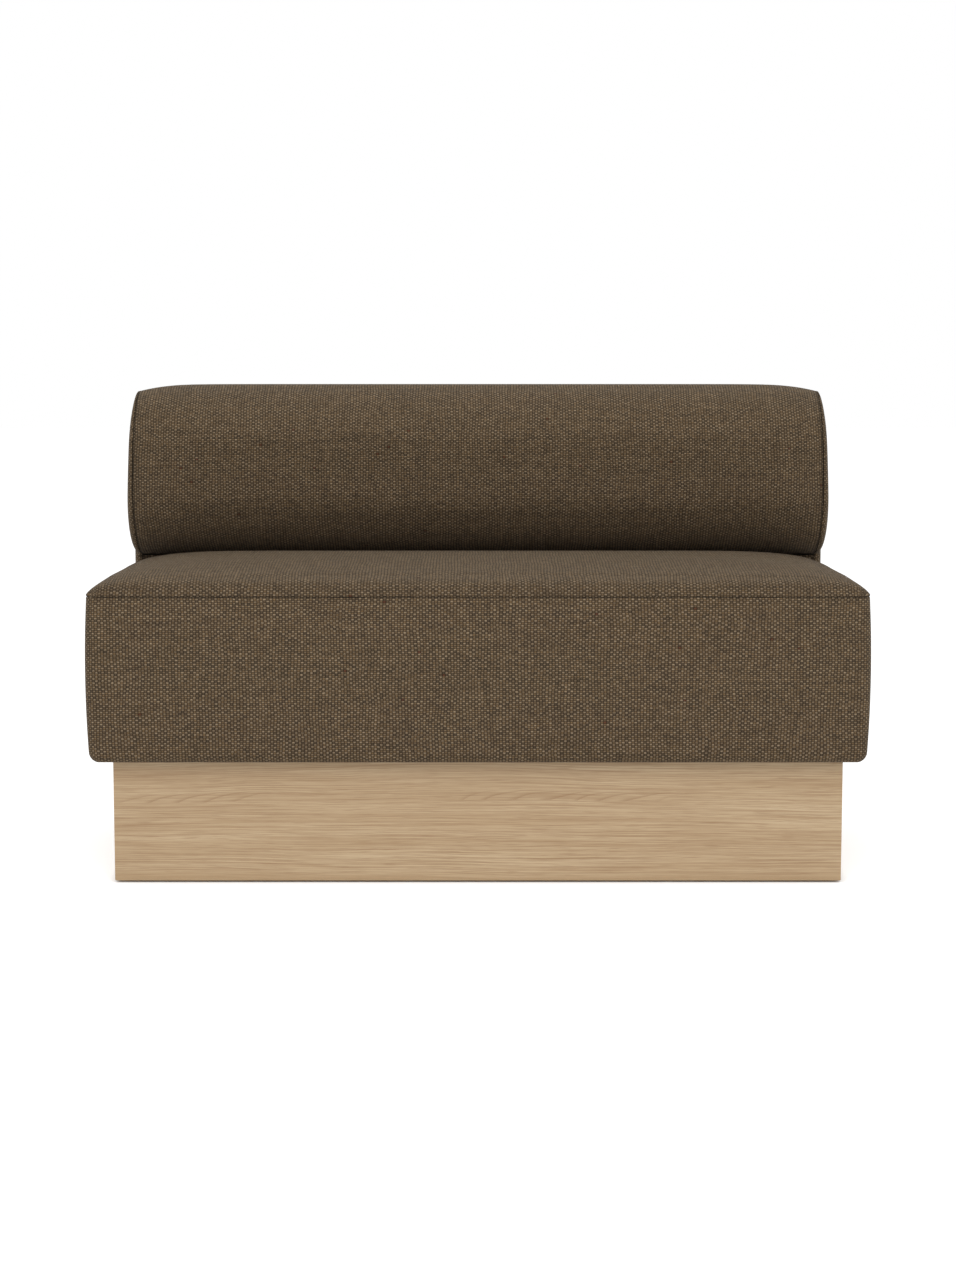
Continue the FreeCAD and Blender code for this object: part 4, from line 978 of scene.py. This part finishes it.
class Wiring:
    """Shorthand for adding nodes to one material or world and joining them."""

    def __init__(self, owner):
        self.owner = owner
        owner.use_nodes = True
        self.tree = owner.node_tree
        self.tree.nodes.clear()

    def put(self, socket, value):
        """Join a socket to another, or set it."""
        if isinstance(value, bpy.types.NodeSocket):
            self.tree.links.new(value, socket)
        elif socket.type == "RGBA":
            socket.default_value = (*value, 1.0)
        else:
            socket.default_value = value

    def add(self, kind, inputs=None, **options):
        """A node with its options set, and its inputs by name or number."""
        node = self.tree.nodes.new(kind)
        for name, value in options.items():
            setattr(node, name, value)
        for name, value in (inputs or {}).items():
            self.put(node.inputs[name], value)
        return node

    def math(self, operation, *values):
        """The result of an arithmetic node."""
        return self.add("ShaderNodeMath", dict(enumerate(values)), operation=operation).outputs[0]

    def joined(self, x, y, z=0.0):
        """A vector from its three parts."""
        return self.add("ShaderNodeCombineXYZ", {"X": x, "Y": y, "Z": z}).outputs["Vector"]

    def mix(self, factor, first, second, blend="MIX"):
        """Two colours mixed by a factor."""
        node = self.add("ShaderNodeMix", {0: factor, 6: first, 7: second}, data_type="RGBA", blend_type=blend)
        return node.outputs[2]

    def vary(self, value, noise, amount):
        """A value made darker and lighter by a noise, by half the amount each way."""
        return self.math("MULTIPLY", value, self.math("MULTIPLY_ADD", noise, amount, 1 - amount / 2))

    def ramp(self, factor, low, high):
        """A value spread so that low becomes 0 and high becomes 1, with soft ends."""
        node = self.add("ShaderNodeMapRange", {"Value": factor, "From Min": low, "From Max": high},
                        interpolation_type="SMOOTHSTEP")
        return node.outputs["Result"]

    def noise(self, place, scale, detail, rough=0.5, output="Fac"):
        """Noise at a place, as a value or a colour. A scale of three numbers stretches it."""
        if isinstance(scale, tuple):
            place = self.add("ShaderNodeMapping", {"Vector": place, "Scale": scale}).outputs["Vector"]
            scale = 1.0
        node = self.add("ShaderNodeTexNoise",
                        {"Vector": place, "Scale": scale, "Detail": detail, "Roughness": rough})
        return node.outputs[output]

    def stray(self, place, source, scale, detail, reach):
        """A place moved about by noise at a source, by half the reach each way."""
        drift = self.noise(source, scale, detail, output="Color")
        middled = self.add("ShaderNodeVectorMath", {0: drift, 1: (0.5, 0.5, 0.5)}, operation="SUBTRACT")
        moved = self.add("ShaderNodeVectorMath", {0: middled.outputs[0], 1: reach, 2: place},
                         operation="MULTIPLY_ADD")
        return moved.outputs[0]

    def finish(self, tint, roughness, height, depth, strength, **shader):
        """The surface itself, with relief from a height."""
        relief = self.add("ShaderNodeBump", {"Height": height, "Distance": depth, "Strength": strength})
        surface = self.add("ShaderNodeBsdfPrincipled", {"Base Color": tint, "Roughness": roughness,
                                                        "Normal": relief.outputs["Normal"]})
        for name, value in shader.items():
            self.put(surface.inputs[name.replace("_", " ")], value)
        self.add("ShaderNodeOutputMaterial", {"Surface": surface.outputs["BSDF"]})
        return self.owner


def fabric():
    """The upholstery fabric, made once."""
    return bpy.data.materials.get(FABRIC_LOOK) or woven_fabric()


def woven_fabric():
    """Chunky plain weave on the weave map: beige weft nubs and golden warp nubs in a chequer, each the
    product of two half sines, painted shade in the gaps between them and in the seams' grooves, tints by
    chance, and rare red flecks."""
    weave = settings("sofa_weave")
    wires = Wiring(bpy.data.materials.new(FABRIC_LOOK))
    cloth = wires.add("ShaderNodeUVMap", uv_map=WEAVE_MAP).outputs["UV"]
    swayed = wires.stray(cloth, cloth, *YARN_DRIFT)
    split = wires.add("ShaderNodeSeparateXYZ", {"Vector": wires.stray(swayed, cloth, *YARN_SLUBS)})
    u = wires.math("DIVIDE", split.outputs["X"], weave.nub_width)
    v = wires.math("DIVIDE", split.outputs["Y"], weave.nub_height)
    cell_u = wires.math("FLOOR", u)
    cell_v = wires.math("FLOOR", v)
    parity = wires.math("FLOORED_MODULO", wires.math("ADD", cell_u, cell_v), 2.0)
    hump_u, hump_v = (wires.math("SINE", wires.math("MULTIPLY", wires.math("FRACT", way), math.pi))
                      for way in (u, v))
    weft = wires.math("MULTIPLY", wires.math("POWER", hump_u, WEFT_POWER), hump_v)
    warp = wires.math("MULTIPLY", hump_u, wires.math("POWER", hump_v, WARP_POWER))
    lower_warp = wires.math("MULTIPLY", warp, WARP_HEIGHT)
    nub = wires.add("ShaderNodeMix", {0: parity, 2: lower_warp, 3: weft}, data_type="FLOAT").outputs[0]
    chance = wires.add("ShaderNodeTexWhiteNoise", {"Vector": wires.joined(cell_u, cell_v)},
                       noise_dimensions="2D").outputs["Value"]
    fibre = wires.noise(cloth, *YARN_FIBRE)
    along_weft = wires.joined(wires.math("MULTIPLY", u, TONE_RUN), wires.math("MULTIPLY", cell_v, TONE_STEP))
    along_warp = wires.joined(wires.math("MULTIPLY", cell_u, TONE_STEP), wires.math("MULTIPLY", v, TONE_RUN))
    weft_tone = wires.noise(along_weft, scale=1.0, detail=1.0)
    warp_tone = wires.noise(along_warp, scale=1.0, detail=1.0)
    tint = wires.mix(parity, wires.mix(chance, weave.umber, weave.amber),
                     wires.mix(chance, weave.beige, weave.pale))
    tint = wires.mix(wires.math("GREATER_THAN", chance, COMMON_NUBS), tint, weave.fleck)
    # Painted shade: the fabric's colour darkens with the nubs' height into the gaps between them
    shade = wires.math("MULTIPLY_ADD", nub, 1 - GAP_SHADE, GAP_SHADE)
    shade = wires.vary(shade, fibre, FIBRE_TONE)
    shade = wires.vary(shade, weft_tone, WEFT_TONE)
    shade = wires.vary(shade, warp_tone, WARP_TONE)
    # Painted shade in the seams' grooves: the seam_shade attribute darkens the fabric's colour
    groove_shade = wires.add("ShaderNodeAttribute", attribute_name=SEAM_SHADE).outputs["Fac"]
    shade = wires.math("MULTIPLY", shade, wires.math("MULTIPLY_ADD", groove_shade, -PAINTED_GROOVE_SHADE, 1.0))
    tint = wires.mix(1.0, tint, wires.joined(shade, shade, shade), "MULTIPLY")
    height = wires.math("MULTIPLY_ADD", fibre, FIBRE_RELIEF, nub)
    return wires.finish(tint, FABRIC_ROUGHNESS, height, weave.bump, FABRIC_RELIEF, Sheen_Weight=weave.sheen,
                        Sheen_Roughness=SHEEN_ROUGHNESS, Sheen_Tint=SHEEN_TINT,
                        Specular_IOR_Level=FABRIC_GLOSS)


def oak_veneer(name, turned=False):
    """Oak veneer with its grain along the board: broad bands, long streaks, fine fibres and pores as short
    dashes, and two groups of cathedral arcs that climb from their feet and flatten as a logarithm does."""
    oak = settings("sofa_oak")
    wires = Wiring(bpy.data.materials.new(name))
    place = wires.add("ShaderNodeTexCoord").outputs["Object"]
    if turned:
        quarter = {"Vector": place, "Rotation": (0, 0, math.pi / 2)}
        place = wires.add("ShaderNodeMapping", quarter).outputs["Vector"]
    wave = wires.noise(place, *GRAIN_WAVE)
    split = wires.add("ShaderNodeSeparateXYZ", {"Vector": place})
    along = split.outputs["X"]
    up = wires.math("MULTIPLY_ADD", wires.math("SUBTRACT", wave, 0.5), WAVE_HEIGHT, split.outputs["Z"])
    bent = wires.joined(along, split.outputs["Y"], up)
    grain = {kind: wires.noise(bent, *values) for kind, values in GRAINS.items()}
    tint = oak.pale
    for kind, low, high, part, stain in STAINS:
        part_here = wires.math("MULTIPLY", wires.ramp(grain[kind], low, high), part)
        tint = wires.mix(part_here, tint, getattr(oak, stain))
    # Painted shade: the veneer darkens towards tan along its foot
    foot = wires.math("MULTIPLY", wires.ramp(up, oak.foot_band, oak.foot_band * FOOT_FULL), FOOT_SHADE)
    tint = wires.mix(foot, tint, oak.tan)
    tint = wires.mix(wires.math("MULTIPLY", cathedral(wires, along, up, bent), ARC_STAIN), tint, oak.pore)
    rough = wires.math("MULTIPLY_ADD", grain["fibre"], OAK_ROUGHNESS_SPREAD, OAK_ROUGHNESS)
    relief = wires.math("SUBTRACT", grain["fibre"], grain["pores"])
    return wires.finish(tint, rough, relief, OAK_DEPTH, OAK_RELIEF, Specular_IOR_Level=OAK_GLOSS)


def cathedral(wires, along, up, bent):
    """Darkness of the cathedral arcs: sharp on their lower right, fading to the upper left, in two groups."""
    oak = settings("sofa_oak")
    height = wires.math("DIVIDE", wires.math("SUBTRACT", up, oak.cathedral_height), oak.cathedral_rise)
    inside = wires.math("MULTIPLY", wires.ramp(height, *ARC_FOOT), wires.ramp(height, *ARC_TOP))
    to_top = wires.math("MAXIMUM", wires.math("SUBTRACT", 1.0, height), ARC_FLATTEST)
    foot = wires.math("MULTIPLY_ADD", wires.math("LOGARITHM", to_top, math.e), oak.cathedral_run, along)
    jitter = wires.math("MULTIPLY", wires.noise(bent, *ARC_NOISE), ARC_JITTER)
    phase = wires.math("FRACT", wires.math("DIVIDE", wires.math("ADD", foot, jitter), oak.cathedral_gap))
    groups = [(oak.cathedral_left, LEFT_REACH), (oak.cathedral_right, RIGHT_REACH)]
    left, right = (wires.ramp(wires.math("ABSOLUTE", wires.math("SUBTRACT", foot, middle)), *reach)
                   for middle, reach in groups)
    arc = wires.math("MULTIPLY", wires.ramp(phase, *ARC_EDGE), inside)
    return wires.math("MULTIPLY", arc, wires.math("ADD", left, right))


def mottled(name, **shader):
    """A plain stuff with stretched noise in its colour, gloss and relief."""
    dark, pale, size, roughness, depth = STUFFS[name]
    wires = Wiring(bpy.data.materials.new(name))
    place = wires.add("ShaderNodeTexCoord").outputs["Object"]
    grain = wires.noise(place, size, *MOTTLE)
    tint = wires.mix(wires.ramp(grain, *MOTTLE_EDGE), dark, pale)
    rough = wires.math("MULTIPLY_ADD", grain, MOTTLE_GLOSS, roughness - MOTTLE_GLOSS / 2)
    return wires.finish(tint, rough, grain, depth, MOTTLE_RELIEF, **shader)


def paint(material, *nodes):
    """Give CAD nodes a finish."""
    for name in nodes:
        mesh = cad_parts[name].data
        mesh.materials.clear()
        mesh.materials.append(material)


# Stage

def make_stage():
    """Camera at the photographed angle, a floor that is white to the camera and keeps the shadow, an even
    white room and two softboxes."""
    stage = settings("sofa_stage")
    scene = bpy.context.scene
    scene.view_settings.view_transform = "Standard"
    camera = bpy.data.objects.new("camera", bpy.data.cameras.new("camera"))
    camera.data.lens = stage.lens
    camera.location = (0.0, -stage.camera_distance, stage.camera_height)
    camera.rotation_euler = (stage.camera_pitch, 0.0, 0.0)
    scene.collection.objects.link(camera)
    scene.camera = camera
    half = stage.floor_size / 2
    corners = [(-half, -half, 0), (half, -half, 0), (half, half, 0), (-half, half, 0)]
    mesh = bpy.data.meshes.new("floor")
    mesh.from_pydata(corners, [], [(0, 1, 2, 3)])
    mesh.materials.append(floor_paint())
    floor = bpy.data.objects.new("floor", mesh)
    scene.collection.objects.link(floor)
    white_room()
    softbox("top_softbox", watts=stage.top_light, **TOP_SOFTBOX)
    softbox("front_softbox", watts=stage.front_light, **FRONT_SOFTBOX)


def softbox(name, place, turn, size, watts):
    """A rectangular lamp that the camera doesn't see."""
    lamp = bpy.data.lights.new(name, "AREA")
    lamp.shape = "RECTANGLE"
    lamp.size, lamp.size_y = size
    lamp.energy = watts
    light = bpy.data.objects.new(name, lamp)
    light.location = place
    light.rotation_euler = turn
    light.visible_camera = False
    bpy.context.scene.collection.objects.link(light)


def floor_paint():
    """White paint, lifted to the white of the background where it is seen directly or mirrored and nothing
    stands close above it, and clear from below."""
    stage = settings("sofa_stage")
    wires = Wiring(bpy.data.materials.new("white_floor"))
    coat = wires.add("ShaderNodeBsdfDiffuse", {"Color": stage.floor_white})
    path = wires.add("ShaderNodeLightPath")
    mirrored = wires.math("MAXIMUM", path.outputs["Is Glossy Ray"], path.outputs["Is Transmission Ray"])
    seen = wires.math("MAXIMUM", path.outputs["Is Camera Ray"], mirrored)
    space = wires.add("ShaderNodeAmbientOcclusion", {"Distance": stage.contact}, samples=CONTACT_SAMPLES)
    strength = wires.math("MULTIPLY", seen, wires.math("MULTIPLY", space.outputs["AO"], stage.floor_lift))
    lift = wires.add("ShaderNodeEmission", {"Color": (1.0, 1.0, 1.0), "Strength": strength})
    lit = wires.add("ShaderNodeAddShader", {0: coat.outputs[0], 1: lift.outputs[0]})
    below = wires.add("ShaderNodeNewGeometry").outputs["Backfacing"]
    clear = wires.add("ShaderNodeBsdfTransparent")
    surface = wires.add("ShaderNodeMixShader", {0: below, 1: lit.outputs[0], 2: clear.outputs[0]})
    wires.add("ShaderNodeOutputMaterial", {"Surface": surface.outputs[0]})
    return wires.owner


def white_room():
    """An even white world: full white where it is seen directly, the room light elsewhere."""
    wires = Wiring(bpy.data.worlds.new("white_room"))
    path = wires.add("ShaderNodeLightPath")
    seen = wires.math("MAXIMUM", path.outputs["Is Camera Ray"], path.outputs["Is Transmission Ray"])
    room_light = settings("sofa_stage").room_light
    light = wires.add("ShaderNodeMapRange", {"Value": seen, "To Min": room_light, "To Max": 1.0})
    glow = wires.add("ShaderNodeBackground", {"Color": (1.0, 1.0, 1.0), "Strength": light.outputs["Result"]})
    wires.add("ShaderNodeOutputWorld", {"Surface": glow.outputs["Background"]})
    bpy.context.scene.world = wires.owner


# Operators

class SOFA_OT_seat_top(bpy.types.Operator):
    """Make the crowned top panel of the seat"""

    bl_idname = "sofa.seat_top"
    bl_label = "Seat Top"

    def execute(self, context):
        make_seat_top(fabric())
        return {"FINISHED"}


class SOFA_OT_seat_border(bpy.types.Operator):
    """Make the padded band round the seat"""

    bl_idname = "sofa.seat_border"
    bl_label = "Seat Side Band"

    def execute(self, context):
        make_seat_border(fabric())
        return {"FINISHED"}


class SOFA_OT_dust_cloth(bpy.types.Operator):
    """Make the dust cloth under the seat"""

    bl_idname = "sofa.dust_cloth"
    bl_label = "Dust Cloth"

    def execute(self, context):
        make_dust_cloth()
        return {"FINISHED"}


class SOFA_OT_back_roll(bpy.types.Operator):
    """Make the bolster of the back"""

    bl_idname = "sofa.back_roll"
    bl_label = "Back Bolster"

    def execute(self, context):
        make_back_roll(fabric())
        return {"FINISHED"}


class SOFA_OT_back_ends(bpy.types.Operator):
    """Make the two domed end panels of the back"""

    bl_idname = "sofa.back_ends"
    bl_label = "Back End Panels"

    def execute(self, context):
        make_back_end(fabric(), -1, "left")
        make_back_end(fabric(), 1, "right")
        return {"FINISHED"}


class SOFA_OT_back_panels(bpy.types.Operator):
    """Make the neck panel and the outside back"""

    bl_idname = "sofa.back_panels"
    bl_label = "Neck and Outside Back"

    def execute(self, context):
        make_flat_panels(fabric())
        return {"FINISHED"}


class SOFA_OT_plinth_finish(bpy.types.Operator):
    """Veneer the plinth boards with oak"""

    bl_idname = "sofa.plinth_finish"
    bl_label = "Plinth Veneer"

    def execute(self, context):
        paint(oak_veneer("oak_veneer_long"), "plinth_front_board", "plinth_back_board")
        paint(oak_veneer("oak_veneer_side", turned=True), "plinth_left_board", "plinth_right_board")
        return {"FINISHED"}


class SOFA_OT_inner_finish(bpy.types.Operator):
    """Finish the timber, boards, webbing, steel and plastic inside and underneath"""

    bl_idname = "sofa.inner_finish"
    bl_label = "Inner Parts"

    def execute(self, context):
        stems, feet = ([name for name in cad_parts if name.startswith(kind)]
                       for kind in ("glide_stem", "glide_foot"))
        paint(mottled("pine_lengthwise"), "plinth_front_batten", "plinth_middle_batten", "plinth_back_batten",
              "seat_front_rail", "seat_back_rail", "back_top_rails", "back_front_rails", "back_lower_rails")
        paint(mottled("pine_crosswise"), "plinth_brace", "plinth_corner_blocks", "seat_left_rail",
              "seat_right_rail", "seat_centre_rail", "seat_corner_blocks")
        paint(mottled("birch_plywood"), "seat_base_panel", "back_base_panel", "back_former_left",
              "back_former_centre", "back_former_right")
        paint(mottled("hardboard"), "back_roll_board", "back_neck_board", "back_rear_board")
        paint(mottled("elastic_webbing"), "seat_webbing")
        paint(mottled("zinc_steel", Metallic=1.0), "plinth_bolts", "bolt_inserts", "glide_tee_nuts",
              "back_brackets", "bracket_screws", *stems)
        paint(mottled("black_nylon"), *feet)
        return {"FINISHED"}


class SOFA_OT_stage(bpy.types.Operator):
    """Set up the camera, the white floor and the studio light"""

    bl_idname = "sofa.stage"
    bl_label = "Stage"

    def execute(self, context):
        make_stage()
        return {"FINISHED"}


class SOFA_PT_sidebar(bpy.types.Panel):
    """Lists the sofa's pieces"""

    bl_idname = "SOFA_PT_sidebar"
    bl_label = "Dining Sofa"
    bl_space_type = "VIEW_3D"
    bl_region_type = "UI"
    bl_category = "Sofa"

    def draw(self, context):
        for operator in OPERATORS:
            self.layout.operator(operator.bl_idname)
        for name, group in GROUPS.items():
            box = self.layout.box()
            for value in group.__annotations__:
                box.prop(getattr(context.scene, name), value)


GROUPS = {"sofa_sewing": SofaSewing, "sofa_seat": SofaSeat, "sofa_back": SofaBack, "sofa_weave": SofaWeave,
          "sofa_oak": SofaOak, "sofa_stage": SofaStage}
OPERATORS = (SOFA_OT_stage, SOFA_OT_seat_top, SOFA_OT_seat_border, SOFA_OT_dust_cloth, SOFA_OT_back_roll,
             SOFA_OT_back_ends, SOFA_OT_back_panels, SOFA_OT_plinth_finish, SOFA_OT_inner_finish)


def register():
    """Add the groups of values, the operators and the panel to Blender."""
    for group in GROUPS.values():
        bpy.utils.register_class(group)
    for name, group in GROUPS.items():
        setattr(bpy.types.Scene, name, PointerProperty(type=group))
    for operator in OPERATORS:
        bpy.utils.register_class(operator)
    bpy.utils.register_class(SOFA_PT_sidebar)


def unregister():
    """Take them out of Blender again."""
    bpy.utils.unregister_class(SOFA_PT_sidebar)
    for operator in reversed(OPERATORS):
        bpy.utils.unregister_class(operator)
    for name in GROUPS:
        delattr(bpy.types.Scene, name)
    for group in reversed(GROUPS.values()):
        bpy.utils.unregister_class(group)


def main():
    """Register the add-on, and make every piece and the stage."""
    register()
    bpy.ops.sofa.stage()
    bpy.ops.sofa.seat_top()
    bpy.ops.sofa.seat_border()
    bpy.ops.sofa.dust_cloth()
    bpy.ops.sofa.back_roll()
    bpy.ops.sofa.back_ends()
    bpy.ops.sofa.back_panels()
    bpy.ops.sofa.plinth_finish()
    bpy.ops.sofa.inner_finish()


if __name__ == "__main__":
    main()
